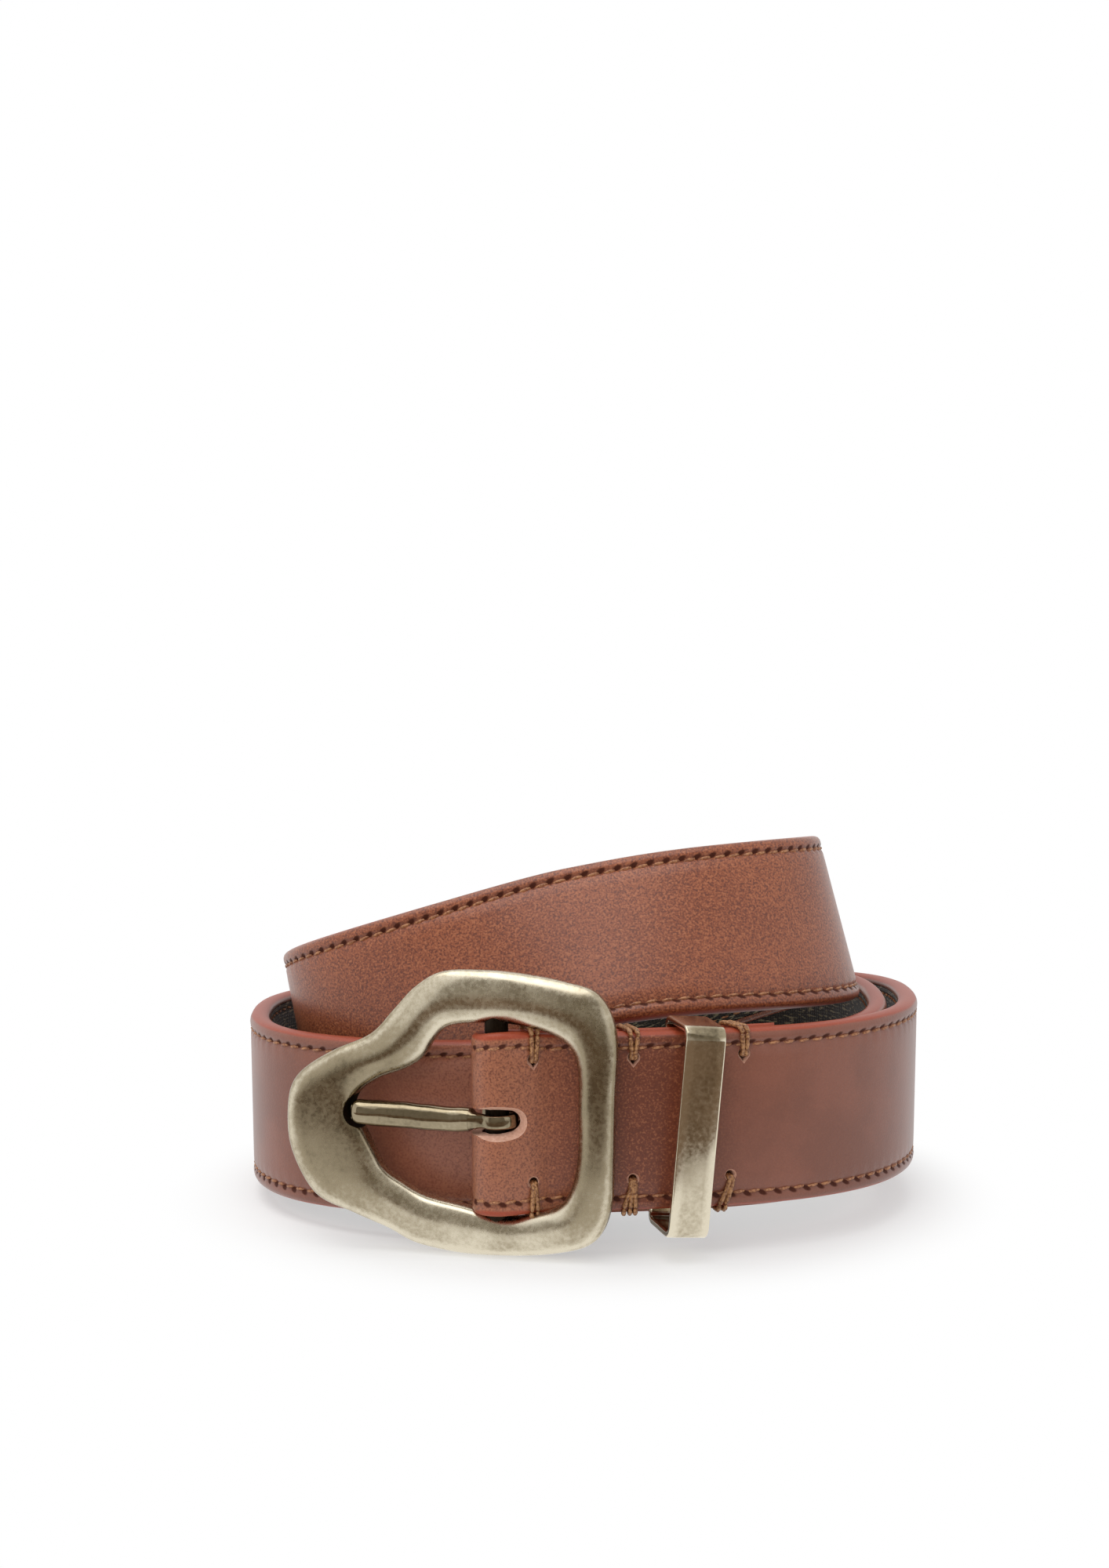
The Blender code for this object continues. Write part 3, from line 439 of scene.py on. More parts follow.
class Belt:
    """The laid-out strap and bar, which every other piece takes its place from."""

    def __init__(self):
        path = coil_path()
        begin = next(i for i, (point, _) in enumerate(path) if point.x >= BAR_PLACE + FOLD_LEAD)
        self.path = path[begin:]
        run = [FOLD_LEAD]
        for (one, _), (two, _) in zip(self.path, self.path[1:]):
            run.append(run[-1] + (two - one).length)
        self.run = run
        first = self.station(FOLD_LEAD)
        heel_reach = FRAME_STATIONS[HEEL_STATION][0] * MM + RAIL_WIDTHS[HEEL_STATION] * MM / 2
        bar_y = (first.at(0.0, HALF_THICK).y - HEEL_GAP
                 - FRAME_DEPTH / 2 / math.cos(FRAME_SWING) + heel_reach * math.sin(FRAME_SWING))
        self.bar = Vector((BAR_PLACE, bar_y, first.point.z))
        low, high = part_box("centre_bar")
        seat = Vector(((low.x + high.x) / 2, (low.y + high.y) / 2, low.z - bar_foot()))
        shift = seat - self.bar
        self.bar = seat
        self.path = [(point + shift, lean) for point, lean in self.path]
        self.fold = self.fold_row()

    def station(self, place):
        """Station at a distance from the bar, past the fold."""
        k = min(max(bisect.bisect_right(self.run, place) - 1, 0), len(self.run) - 2)
        share = (place - self.run[k]) / (self.run[k + 1] - self.run[k])
        one, two = self.path[k], self.path[k + 1]
        low, high = max(k - 3, 0), min(k + 4, len(self.path) - 1)
        return Station(one[0].lerp(two[0], share), self.path[high][0] - self.path[low][0],
                       one[1] + (two[1] - one[1]) * share)

    def fold_row(self):
        """The leather's inner face round the bar, from the tail's side to the strap.

        Each item is (place, station, thickness); places behind the bar are negative.
        """
        first = self.station(FOLD_LEAD)
        face = first.at(0.0, HALF_THICK - LEATHER_THICKNESS)
        back = first.at(0.0, -HALF_THICK - GLUE_LINE)
        centre = self.bar

        def tangent_angle(point, side):
            offset = point - centre
            reach = math.acos(FOLD_RADIUS / offset.length)
            return math.atan2(offset.y, offset.x) + side * reach

        start = tangent_angle(back, 1.0)
        end = tangent_angle(face, -1.0)
        if end < start:
            end += 2 * math.pi
        start_point = centre + spoke(start) * FOLD_RADIUS
        end_point = centre + spoke(end) * FOLD_RADIUS
        to_bar, from_bar = 10, 16
        row = [(back.lerp(start_point, i / to_bar), start_point - back, 0.0)
               for i in range(to_bar)]
        for i in range(FOLD_FINE_STEPS + 1):
            share = i / FOLD_FINE_STEPS
            way = spoke(start + (end - start) * share)
            row.append((centre + way * FOLD_RADIUS, Vector((-way.y, way.x, 0.0)), share))
        handle = (face - end_point).length * 0.42
        exit_way = spoke(end + math.pi / 2)
        curve = [end_point, end_point + exit_way * handle * 1.3,
                 face - first.along * handle, face]
        for i in range(1, from_bar):
            t = i / from_bar
            s = 1 - t
            weights = (s ** 3, 3 * s * s * t, 3 * s * t * t, t ** 3)
            rates = (-3 * s * s, 3 * s * s - 6 * s * t, 6 * s * t - 3 * t * t, 3 * t * t)
            row.append((sum((p * w for p, w in zip(curve, weights)), Vector()),
                        sum((p * r for p, r in zip(curve, rates)), Vector()), 1.0))
        stations = [(Station(point, along),
                     TAIL_THICKNESS + (LEATHER_THICKNESS - TAIL_THICKNESS) * share)
                    for point, along, share in row]
        place = FOLD_LEAD
        outer = first.at(0.0, HALF_THICK)
        placed = []
        for station, thickness in reversed(stations):
            point = station.at(0.0, thickness)
            place -= (outer - point).length
            outer = point
            placed.append((place, station, thickness))
        return placed[::-1]


def point_width(place):
    """Width of the strap, which narrows to a blunt round point."""
    left = STRAP_LENGTH - place
    if left >= POINT_LENGTH:
        return STRAP_WIDTH
    share = 1 - left / POINT_LENGTH
    fullness = math.sqrt(max(1 - share ** POINT_BLUNTNESS, 0.0))
    return POINT_WIDTH + (STRAP_WIDTH - POINT_WIDTH) * fullness


# ------------------------------------------------------------------ materials
# Kinds of node, and the settings that come again
MIX, MATHS, RANGE = "ShaderNodeMix", "ShaderNodeMath", "ShaderNodeMapRange"
NOISE, CELLS, BUMP = "ShaderNodeTexNoise", "ShaderNodeTexVoronoi", "ShaderNodeBump"
COLOURS = {"data_type": "RGBA"}
SOFT = {"interpolation_type": "SMOOTHSTEP"}
TIMES, PLUS, MINUS, TIMES_PLUS, LARGER, SIZE = (
    {"operation": name}
    for name in ("MULTIPLY", "ADD", "SUBTRACT", "MULTIPLY_ADD", "MAXIMUM", "ABSOLUTE"))
WHITE = (1.0, 1.0, 1.0, 1.0)


def hex_colour(code):
    """sRGB hex to a linear colour."""
    channels = [int(code[i:i + 2], 16) / 255 for i in (1, 3, 5)]
    return tuple(c / 12.92 if c <= 0.04045 else ((c + 0.055) / 1.055) ** 2.4
                 for c in channels) + (1.0,)


def per_metre(size):
    """Scale of a pattern whose repeat has this size."""
    return 1.0 / size


def connect(item, inputs):
    """Fill sockets: those that a dict names, or for a list the node's live ones in order.

    An input is a plain value, a colour as hex, an output, or a node, which gives its
    first live output.
    """
    if isinstance(inputs, dict):
        sockets, values = [item.inputs[key] for key in inputs], inputs.values()
    else:
        sockets, values = [socket for socket in item.inputs if socket.enabled], inputs
    for socket, value in zip(sockets, values):
        if isinstance(value, bpy.types.Node):
            value = next(output for output in value.outputs if output.enabled)
        if isinstance(value, str):
            value = hex_colour(value)
        if isinstance(value, bpy.types.NodeSocket):
            item.id_data.links.new(value, socket)
        else:
            socket.default_value = value


def add_node(tree, kind, settings=None, inputs=()):
    """Add a node with its settings and its inputs, given as connect takes them."""
    item = tree.nodes.new(kind)
    for key, value in (settings or {}).items():
        setattr(item, key, value)
    connect(item, inputs)
    return item


def new_finish(name):
    """An empty material, the function that adds its nodes, and its shader."""
    material = bpy.data.materials.new(name)
    material.use_nodes = True
    tree = material.node_tree
    return material, partial(add_node, tree), tree.nodes["Principled BSDF"]


def laid_map(node):
    """The map that a piece's skin carries, whole and in its two measures."""
    laid = node("ShaderNodeUVMap", {"uv_map": "laid"})
    parts = node("ShaderNodeSeparateXYZ", None, [laid])
    return laid, parts.outputs["X"], parts.outputs["Y"]


def tan_hide():
    # Vegetable-retanned cow hide, aniline dyed and lightly waxed, grain side out: a warm
    # tan with a fine pebble, darker pull-up clouds and a soft, broken sheen.  Its cut edge
    # is beaded with several coats of acrylic edge paint, smoother, redder and glossier.
    material, node, shader = new_finish("tan_hide")
    where = node("ShaderNodeTexCoord").outputs["Object"]
    _, along, inwards = laid_map(node)

    # Pores and pebbles about 0.5 mm apart, coarser than the hide's 0.3 mm so that they
    # show, and clouds of dye 16 mm across
    pebble = node(CELLS, {"feature": "SMOOTH_F1"},
                  {"Vector": where, "Scale": per_metre(0.55 * MM), "Smoothness": 0.3})
    fleck = node(NOISE, None, {"Vector": where, "Scale": per_metre(0.42 * MM),
                               "Detail": 2.0, "Roughness": 0.6})
    cloud = node(NOISE, None, {"Vector": where, "Scale": per_metre(16.0 * MM),
                               "Detail": 4.0, "Roughness": 0.55})
    clouds = node(RANGE, SOFT, [cloud, 0.36, 0.64])
    light_fleck = node(RANGE, SOFT, [fleck, 0.52, 0.66, 0.0, 0.6])
    dark_pore = node(RANGE, SOFT, [fleck, 0.51, 0.36, 0.0, 0.9])

    # The grain is rubbed smooth where the strap is handled past the keeper, and opens
    # towards the strap's point
    at_fold = node(RANGE, SOFT, [along, 26.0, 50.0, 0.75, 0.08])
    towards_point = node(RANGE, SOFT, [along, 250.0, 760.0])
    open_grain = node(MATHS, LARGER, [at_fold, towards_point])
    # A paler stretch of the strap, painted light on the inner turn where it shows through the
    # frame, keeps some of its grain
    pale_after = node(RANGE, SOFT, [along, 350.0, 400.0])
    pale_before = node(RANGE, SOFT, [along, 640.0, 480.0])
    painted_light = node(MATHS, TIMES, [pale_after, pale_before])
    some_grain = node(MATHS, TIMES, [painted_light, 0.6])
    grain_share = node(MATHS, LARGER, [open_grain, some_grain])
    flecked = node(MATHS, TIMES, [light_fleck, grain_share])
    pored = node(MATHS, TIMES, [dark_pore, grain_share])
    # Bent over the bar the hide pulls up paler, and from there to the keeper it is darkened:
    # painted shade of the frame on the strap
    from_bar = node(MATHS, SIZE, [along])
    pulled = node(RANGE, SOFT, [from_bar, 14.0, 5.0, 0.0, 0.2])
    past_fold = node(RANGE, SOFT, [along, 2.0, 26.0, 0.0, 0.9])
    before_keeper = node(RANGE, SOFT, [along, 42.0, 34.0])
    frame_shade = node(MATHS, TIMES, [past_fold, before_keeper])

    # Slanted awl holes between the stitches, painted dark as the shade in them, and painted
    # shade along the row's channel
    phase = node(MATHS, TIMES, [along, 1.0 / (STITCH_PITCH / MM)])
    turn = node(MATHS, PLUS, [phase, 0.5])
    part = node(MATHS, {"operation": "FRACT"}, [turn])
    off = node(MATHS, MINUS, [part, 0.5])
    reach = node(MATHS, TIMES, [off, STITCH_PITCH / MM])
    depth = node(MATHS, MINUS, [inwards, STITCH_ROW])
    dash = node(MATHS, TIMES, [reach, 0.62])
    slant = node(MATHS, TIMES_PLUS, [reach, 0.3, depth])
    spot = node("ShaderNodeCombineXYZ", None, [dash, slant])
    near = node("ShaderNodeVectorMath", {"operation": "LENGTH"}, [spot])
    hole = node(RANGE, SOFT, [near, 0.70, 0.34, 0.0, 0.95])
    sewn = node(MATHS, {"operation": "GREATER_THAN"}, [along, SEWN_FROM / MM])
    hole_shade = node(MATHS, TIMES, [hole, sewn])
    row = node(MATHS, SIZE, [depth])
    channel_shade = node(RANGE, SOFT, [row, 0.75, 0.1, 0.0, 0.45])

    # Edge paint, whose border wanders a little on the face
    lap = node(MATHS, SIZE, [inwards])
    at_bar = node(RANGE, SOFT, [from_bar, 8.0, 3.0, 0.0, 0.6])
    wide_lap = node(MATHS, MINUS, [lap, at_bar])
    narrowed = node(MATHS, TIMES_PLUS, [towards_point, 0.7, wide_lap])
    wander = node(MATHS, TIMES_PLUS, [cloud, 0.9, narrowed])
    painted = node(RANGE, SOFT, [wander, EDGE_LAP + 0.85, EDGE_LAP + 0.15])

    rubbed, open_hide, paint = (
        node(MIX, COLOURS, [share, dark, light])
        for share, dark, light in ((clouds, "#70402F", "#7C4836"),
                                   (clouds, "#834325", "#8D4B2B"),
                                   (light_fleck, "#943E24", "#A34C2F")))
    colour = rubbed
    for share, over in ((painted_light, "#9E624C"), (open_grain, open_hide), (pulled, "#C98A68"),
                        (frame_shade, "#6A311B"), (flecked, "#AE6C46"), (pored, "#5C2A19"),
                        (channel_shade, "#6B3B28"), (hole_shade, "#40190C"), (painted, paint)):
        colour = node(MIX, COLOURS, [share, colour, over])

    # Wax lies everywhere but in the awl holes, and the paint fills the grain
    wax = node(RANGE, None, [painted, 0.0, 1.0, 0.9, 0.5])
    unsewn = node(MATHS, MINUS, [1.0, hole_shade])
    waxed = node(MATHS, TIMES, [wax, unsewn])
    relief = node(MATHS, TIMES_PLUS, [pebble, -0.9, fleck])
    unfilled = node(MATHS, {"operation": "SUBTRACT", "use_clamp": True}, [1.15, painted])
    height = node(MATHS, TIMES, [relief, unfilled])
    grain = node(BUMP, None, {"Strength": 0.55, "Distance": 0.16 * MM, "Height": height})
    connect(shader, {"Base Color": colour, "Roughness": 0.6,
                     "Specular IOR Level": 0.15, "Coat Weight": waxed,
                     "Coat Roughness": 0.34, "Normal": grain})
    return material


def raw_split():
    # The hide's cut inside: undyed collagen fibre, matt and fuzzy, a pale pinkish tan.
    material, node, shader = new_finish("raw_split")
    where = node("ShaderNodeTexCoord").outputs["Object"]
    # Tufts of fibre 0.6 mm across
    fibre = node(NOISE, None, {"Vector": where, "Scale": per_metre(0.6 * MM), "Detail": 4.0})
    colour = node(MIX, COLOURS, [fibre, "#B27A60", "#EAC0A9"])
    fuzz = node(BUMP, None, {"Strength": 0.6, "Distance": 0.15 * MM, "Height": fibre})
    connect(shader, {"Base Color": colour, "Roughness": 0.85, "Normal": fuzz})
    return material


def lining_cloth():
    # Coarse plain-woven polyester belt lining, olive grey with slubs of paler yarn: matt, with
    # a visible square weave. Its ground is nearly black, painted shade for the inside of the
    # coil.
    material, node, shader = new_finish("lining_cloth")
    laid, along, across = laid_map(node)
    # Yarns 0.7 mm apart, so a full wave of the weave is 1.4 mm
    waves = []
    for way in (along, across):
        angle = node(MATHS, TIMES, [way, 2 * math.pi / 1.4])
        waves.append(node(MATHS, {"operation": "SINE"}, [angle]))
    weave = node(MATHS, TIMES, waves)
    lift = node(MATHS, SIZE, [weave])
    # Slubs of paler yarn 2 mm long and 0.5 mm wide
    drawn = node("ShaderNodeVectorMath", TIMES, [laid, (0.5, 2.0, 0.0)])
    slub = node(NOISE, None, {"Vector": drawn, "Scale": 1.0, "Detail": 1.0})
    paler = node(RANGE, SOFT, [slub, 0.55, 0.64])
    # Nearly black weave: painted shade inside the coil
    shaded_ground = node(MIX, COLOURS, [lift, "#18110D", "#31281D"])
    colour = node(MIX, COLOURS, [paler, shaded_ground, "#877B60"])
    cloth = node(BUMP, None, {"Strength": 0.7, "Distance": 0.2 * MM, "Height": lift})
    connect(shader, {"Base Color": colour, "Roughness": 0.9, "Sheen Weight": 0.2,
                     "Normal": cloth})
    return material


def waxed_cord(name, dark, light):
    # Braided polyester drawn through wax: tan brown, with paler ply crowns and a waxy
    # half-gloss.
    material, node, shader = new_finish(name)
    where = node("ShaderNodeTexCoord").outputs["Object"]
    # Plies 0.5 mm apart
    ply = node(NOISE, None, {"Vector": where, "Scale": per_metre(0.5 * MM), "Detail": 3.0})
    crown = node(RANGE, SOFT, [ply, 0.35, 0.65])
    colour = node(MIX, COLOURS, [crown, dark, light])
    fluff = node(BUMP, None, {"Strength": 0.4, "Distance": 0.1 * MM, "Height": ply})
    connect(shader, {"Base Color": colour, "Roughness": 0.42, "Normal": fluff})
    return material


def aged_brass(name, roughness):
    # Cast brass, tumbled and brushed, darkened to an olive patina and rubbed back bright on its
    # edges: a satin metal with soft highlights, glossier where it was polished. How light it is
    # follows the map's second measure, which holds wear together with painted highlight and
    # painted shade.
    material, node, shader = new_finish(name)
    where = node("ShaderNodeTexCoord").outputs["Object"]
    # The second measure: wear, with painted highlight and painted shade
    _, _, wear_and_light = laid_map(node)
    # Tumbling marks 0.8 mm apart, and blotches of patina 7 mm across
    marks = node(NOISE, None, {"Vector": where, "Scale": per_metre(0.8 * MM),
                               "Detail": 2.0, "Roughness": 0.55})
    blotch = node(NOISE, None, {"Vector": where, "Scale": per_metre(7.0 * MM), "Detail": 3.0})
    blotched = node(MATHS, TIMES_PLUS, [blotch, 0.7, wear_and_light])
    mottled = node(MATHS, TIMES_PLUS, [marks, 0.5, blotched])
    # Lighter where rubbed through the patina, and where the map holds painted highlight
    thin_patina = node(RANGE, SOFT, [mottled, -0.1, 0.5])
    bare_and_lit = node(RANGE, SOFT, [mottled, 0.45, 1.15])
    darkened = node(MIX, COLOURS, [thin_patina, "#4A412F", "#9C8F76"])
    colour = node(MIX, COLOURS, [bare_and_lit, darkened, "#E0D6BF"])
    rough = node(RANGE, None, [marks, 0.3, 0.7, roughness, roughness + 0.10])
    brushed = node(BUMP, None, {"Strength": 0.15, "Distance": 0.01 * MM, "Height": marks})
    connect(shader, {"Base Color": colour, "Metallic": 1.0, "Roughness": rough,
                     "Normal": brushed})
    return material


def shadow_brass():
    # A dull, nearly black brown metal: painted shade, for the bar inside the fold and the notch
    # under the prong's tip, which lie in shadow.
    material, node, shader = new_finish("shadow_brass")
    where = node("ShaderNodeTexCoord").outputs["Object"]
    # Mottling 2 mm across
    mottle = node(NOISE, None, {"Vector": where, "Scale": per_metre(2.0 * MM), "Detail": 2.0})
    colour = node(MIX, COLOURS, [mottle, "#1E1814", "#3A3126"])
    connect(shader, {"Base Color": colour, "Metallic": 1.0, "Roughness": 0.55})
    return material


# ------------------------------------------------------------------ strap
# The leather's outline from its outermost line inwards: distance in from the edge, and
# height over the strap's middle plane in half thicknesses.  It rounds over, rises to a
# margin, dips to the stitched channel and comes up to the flat face.
FACE_PROFILE = ((0.0, 0.0), (0.07, 0.34), (0.28, 0.66), (0.62, 0.88), (1.1, 1.0),
                (1.65, 1.04), (2.15, 1.02), (2.5, 0.93), (2.95, 0.80), (3.4, 0.90),
                (3.95, 0.99), (6.0, 1.0), (11.5, 1.0))
CHANNEL = 8                         # the stitched point of FACE_PROFILE
PINCHED = {6: 0.25, 7: 0.8, 8: 1.0, 9: 0.8, 10: 0.25}
BACK_PROFILE = ((0.07, -0.34), (0.28, -0.66), (0.62, -0.88), (1.05, -0.98), (1.45, -0.98))
# The lining's bed: distance in from the edge, and girth past the end of BACK_PROFILE
BED = ((1.45 + 0.07, 0.1), (9.0, 7.5))
ROW_INSET = FACE_PROFILE[CHANNEL][0] * MM


def girths(profile, half):
    """Distance in millimetres along a profile from the edge's middle to each point."""
    found, last, total = [], (0.0, 0.0), 0.0
    for inward, height in profile:
        point = (inward, height * half / MM)
        total += math.dist(last, point)
        last = point
        found.append(total)
    return found


FACE_GIRTHS = girths(FACE_PROFILE, HALF_THICK)
BACK_GIRTHS = girths(BACK_PROFILE, HALF_THICK)


def fold_rise(place):
    """How far the leather stands up over the strap's edge where it turns at the bar."""
    return FOLD_RISE * (1 - ease(1 * MM, 10 * MM, abs(place - 1 * MM)))


def hand_wave(station, place):
    """How far the leather waves at a station; it lies true near the bar."""
    return UNDULATION * noise.noise(station.point / WAVE_SPAN) * ease(8 * MM, 40 * MM, place)


def end_cap(left, over):
    """Share of a section's thickness this far from an end that is rounded over a length."""
    return math.sqrt(max(1 - (1 - min(left / over, 1.0)) ** 2, 0.02))


def strap_ring(station, place, wide, face, back, recess, pinch, cap=1.0):
    """Points of one cross-section of the leather, with the map for its finish.

    face and back are the two faces' heights over the station; recess is the depth of
    the bed for the lining, and cap thins the section towards the strap's end.
    """
    middle, half = (face + back) / 2, (face - back) / 2 * cap
    wave = hand_wave(station, place)
    half_side = wide / 2
    squeeze = min(half_side / HALF_WIDE, 1.0)
    rise = fold_rise(place)
    near_end = (STRAP_LENGTH - place) / MM + 1.0
    outer = [(inward, (height - pinch * PINCH * PINCHED.get(k, 0.0)) * half, girth)
             for k, ((inward, height), girth) in enumerate(zip(FACE_PROFILE, FACE_GIRTHS))]
    centre = (half_side / MM / squeeze, half, FACE_GIRTHS[-1] + 6.0)
    under = [(inward, height * half, -girth)
             for (inward, height), girth in zip(BACK_PROFILE, BACK_GIRTHS)]
    under += [(inward, recess - half, -girth - BACK_GIRTHS[-1]) for inward, girth in BED]
    points, laid = [], []
    for side, rows in ((1, outer + [centre]), (-1, outer[::-1]), (-1, under), (1, under[::-1])):
        for inward, height, girth in rows:
            up = side * max(half_side - inward * MM * (squeeze if inward > 4 else 1.0), 0.0)
            up += rise * ease(0.3, 1.0, up / HALF_WIDE)
            points.append(station.at(up, middle + height + wave))
            laid.append((place / MM, math.copysign(min(abs(girth), near_end), girth)))
    return points, laid


def stitch_places():
    """Places of the rings past the fold, in step with the stitches, finer at the point."""
    step = STITCH_PITCH / STITCH_STEPS
    first = math.ceil(FOLD_LEAD / step + 0.3)
    last = math.floor((STRAP_LENGTH - 4 * MM) / step)
    places = [FOLD_LEAD] + [k * step for k in range(first, last)]
    for share in (0.3, 0.5, 0.65, 0.78, 0.87, 0.93, 0.97, 0.99, 1.0):
        places.append(last * step + (STRAP_LENGTH - last * step) * share)
    return places


def pinch_at(place):
    """1 at a stitch hole and 0 between holes."""
    if place < SEWN_FROM:
        return 0.0
    phase = (place / STITCH_PITCH + 0.5) % 1.0 - 0.5
    return max(1 - abs(phase) * 4, 0.0) ** 0.7


def strap_hide(belt, hide, cutters, raw):
    """The leather: fold-back, fold and strap in one skin with a painted edge."""
    sections = []
    back = -HALF_THICK - GLUE_LINE
    tail_steps = round((TAIL_LENGTH - FOLD_LEAD) / TAIL_STEP)
    for i in range(tail_steps, -1, -1):
        place = FOLD_LEAD + (TAIL_LENGTH - FOLD_LEAD) * i / tail_steps
        station = belt.station(place)
        turned = Station(station.at(0.0, back), -station.along)
        cap = end_cap(TAIL_LENGTH - place, TAIL_ROUND)
        sections.append(strap_ring(turned, belt.fold[0][0] - (place - FOLD_LEAD), STRAP_WIDTH,
                                   TAIL_THICKNESS, 0.0, 0.0, 0.0, cap))
    for place, station, thickness in belt.fold:
        sections.append(strap_ring(station, place, STRAP_WIDTH, thickness, 0.0, 0.0,
                                   pinch_at(place)))
    for place in stitch_places():
        station = belt.station(place)
        skived = ease(FOLD_LEAD, FOLD_LEAD + SKIVE, place)
        low = HALF_THICK - LEATHER_THICKNESS - (STRAP_THICKNESS - LEATHER_THICKNESS) * skived
        cap = end_cap(STRAP_LENGTH - place, POINT_ROUND)
        recess = max(-LINING_FLOOR - low, 0.0) * ease(0.5, 1.0, cap)
        sections.append(strap_ring(station, place, point_width(place), HALF_THICK, low, recess,
                                   pinch_at(place), cap))
    item = skin("strap_hide", *zip(*sections), sharp=50.0)
    finish_piece(item, hide, "strap", "tan_leather", "strap_leather")
    carve(item, cutters, raw)


def prong_slot(belt):
    """Cutter of the prong's slot: a keyhole that flares to a bevelled lip."""
    behind = FOLD_RADIUS + 2 * TAIL_THICKNESS
    front = FOLD_RADIUS + LEATHER_THICKNESS
    start = -3 * FOLD_RADIUS
    neck = PRONG_NECK_WIDTH + 1.0 * MM
    lip = PRONG_NECK_WIDTH + 2.4 * MM
    mouth = PRONG_WIDTH / 2 + 0.05 * MM
    slot, flared = (
        keyhole(((start, mouth), (-3.4 * MM, mouth), (-2.0 * MM, waist), (-0.5 * MM, end / 2)),
                SLOT_REACH + reach, end)
        for waist, reach, end in ((2.2 * MM, -1.1 * MM, neck), (mouth, 0.4 * MM, lip)))
    along = Vector((1.0, 0.0, 0.0))
    return (axes(along, UP, along.cross(UP), belt.bar + UP * PRONG_LIFT),
            [(-behind, slot), (front - 3.6 * MM, slot), (front - 1.8 * MM, flared),
             (front - LIP_BEVEL, spread(flared, 0.5 * MM)),
             (front - 0.1 * MM, spread(flared, 0.8 * MM)),
             (front + 3 * MM, spread(flared, 1.0 * MM))])


def lashing_slits(belt):
    """Cutters of the slits: a drop above and a round hole below, each with a pulled rim."""
    cutters = []
    for places, side, slit in ((UPPER_LASHINGS, 1, teardrop(2.1 * MM, 1.8 * MM)),
                               (LOWER_LASHINGS, -1, stadium(-0.8 * MM, 0.8 * MM, 1.6 * MM))):
        for place in places:
            middle, across, _, _ = lashing_seat(belt, place)
            out = across.normalized()
            height = HALF_WIDE - (SLIT_INSETS[side] + 0.3 * MM)
            depth = across.length / 2
            cutters.append((axes(UP.cross(out) * side, UP * side, out,
                                 middle + UP * side * height),
                            [(-depth - 1.6 * MM, slit), (depth - 0.7 * MM, slit),
                             (depth + 0.1 * MM, spread(slit, 0.45 * MM)),
                             (depth + 1.4 * MM, spread(slit, 0.7 * MM))]))
    return cutters


def adjusting_holes(belt):
    """Cutters of the punched holes, which end short of the turns beside them."""
    cutters = []
    reach = (STRAP_THICKNESS + TURN_GAP) / 2
    radius = HOLE_DIAMETER / 2
    turn = [2 * math.pi * k / 32 for k in range(32)]
    rim = [(radius * math.cos(angle), radius * math.sin(angle)) for angle in turn]
    for i in range(ADJUSTING_HOLES):
        station = belt.station(STRAP_LENGTH - FIRST_HOLE - i * HOLE_PITCH)
        where = axes(station.along, station.up, station.out, station.point)
        cutters.append((where, [(-reach, rim), (reach, rim)]))
    return cutters


def strap_lining(belt, cloth, cutters, raw):
    """The woven lining, laid in the bed behind the painted edge."""
    rings, maps = [], []
    for i in range(int((STRAP_LENGTH - 19 * MM) / LINING_STEP)):
        place = FOLD_LEAD + 2 * MM + LINING_STEP * i
        station = belt.station(place)
        half = point_width(place) / 2 - LINING_INSET
        row = half - (ROW_INSET - LINING_INSET)
        skived = ease(FOLD_LEAD, FOLD_LEAD + SKIVE, place)
        low = -(HALF_THICK - 0.08 * MM) * skived
        top = (-LINING_FLOOR if skived > 0.5 else low) + LINING_SLACK
        outline = ((half, top), (half, low + 0.12 * MM), (half - 0.15 * MM, low),
                   (row + LINING_CHANNEL, low), (row, low + LINING_DRAWN_IN),
                   (row - LINING_CHANNEL, low), (row * 0.5, low - LINING_BULGE))
        wave = hand_wave(station, place)
        right = [(up, out + wave) for up, out in outline]
        left = [(-up, out) for up, out in reversed(right)]
        rings.append([station.at(up, out) for up, out in right + left])
        maps.append([(place / MM, up / MM) for up, _ in right + left])
    item = skin("strap_backing", rings, maps, sharp=50.0)
    finish_piece(item, cloth, "strap", "lining_fabric", "strap_lining")
    carve(item, cutters, raw)


def tube(line, radius, sides, verts, faces, lobes=0.0, twist=0.0):
    """Add a tube with rounded ends along a line of (point, normal) pairs."""
    count = len(line)
    start = len(verts)
    run = 0.0
    for i, (point, normal) in enumerate(line):
        way = (line[min(i + 1, count - 1)][0] - line[max(i - 1, 0)][0]).normalized()
        side = way.cross(normal).normalized()
        top = side.cross(way)
        run += (point - line[i - 1][0]).length if i else 0.0
        taper = 0.45 if i in (0, count - 1) else 1.0
        for k in range(sides):
            angle = 2 * math.pi * k / sides
            r = radius * taper
            if lobes:
                r *= 1 + lobes * math.cos(2 * angle - run * twist)
            verts.append(point + side * r * math.cos(angle) + top * r * math.sin(angle))
    for i in range(count - 1):
        for k in range(sides):
            m = (k + 1) % sides
            a, b = start + i * sides, start + (i + 1) * sides
            faces.append((a + k, a + m, b + m, b + k))
    faces.append(tuple(range(start + sides - 1, start - 1, -1)))
    faces.append(tuple(range(start + (count - 1) * sides, start + count * sides)))


def surface_at(belt, place):
    """Station and height of the outer face at any place in front of the bar."""
    if place >= FOLD_LEAD:
        return belt.station(place), HALF_THICK
    row = belt.fold
    k = max(min(bisect.bisect_right([item[0] for item in row], place) - 1, len(row) - 2), 0)
    (p1, s1, t1), (p2, s2, t2) = row[k], row[k + 1]
    share = min(max((place - p1) / (p2 - p1), 0.0), 1.0)
    station = Station(s1.point.lerp(s2.point, share), s1.along.lerp(s2.along, share))
    return station, t1 + (t2 - t1) * share


# A stitch from hole to hole: share of the pitch, and millimetres over its bed
STITCH_ARCH = ((0.1, -0.42), (0.22, -0.1), (0.36, 0.12), (0.5, 0.17), (0.64, 0.12),
               (0.78, -0.1), (0.9, -0.42))


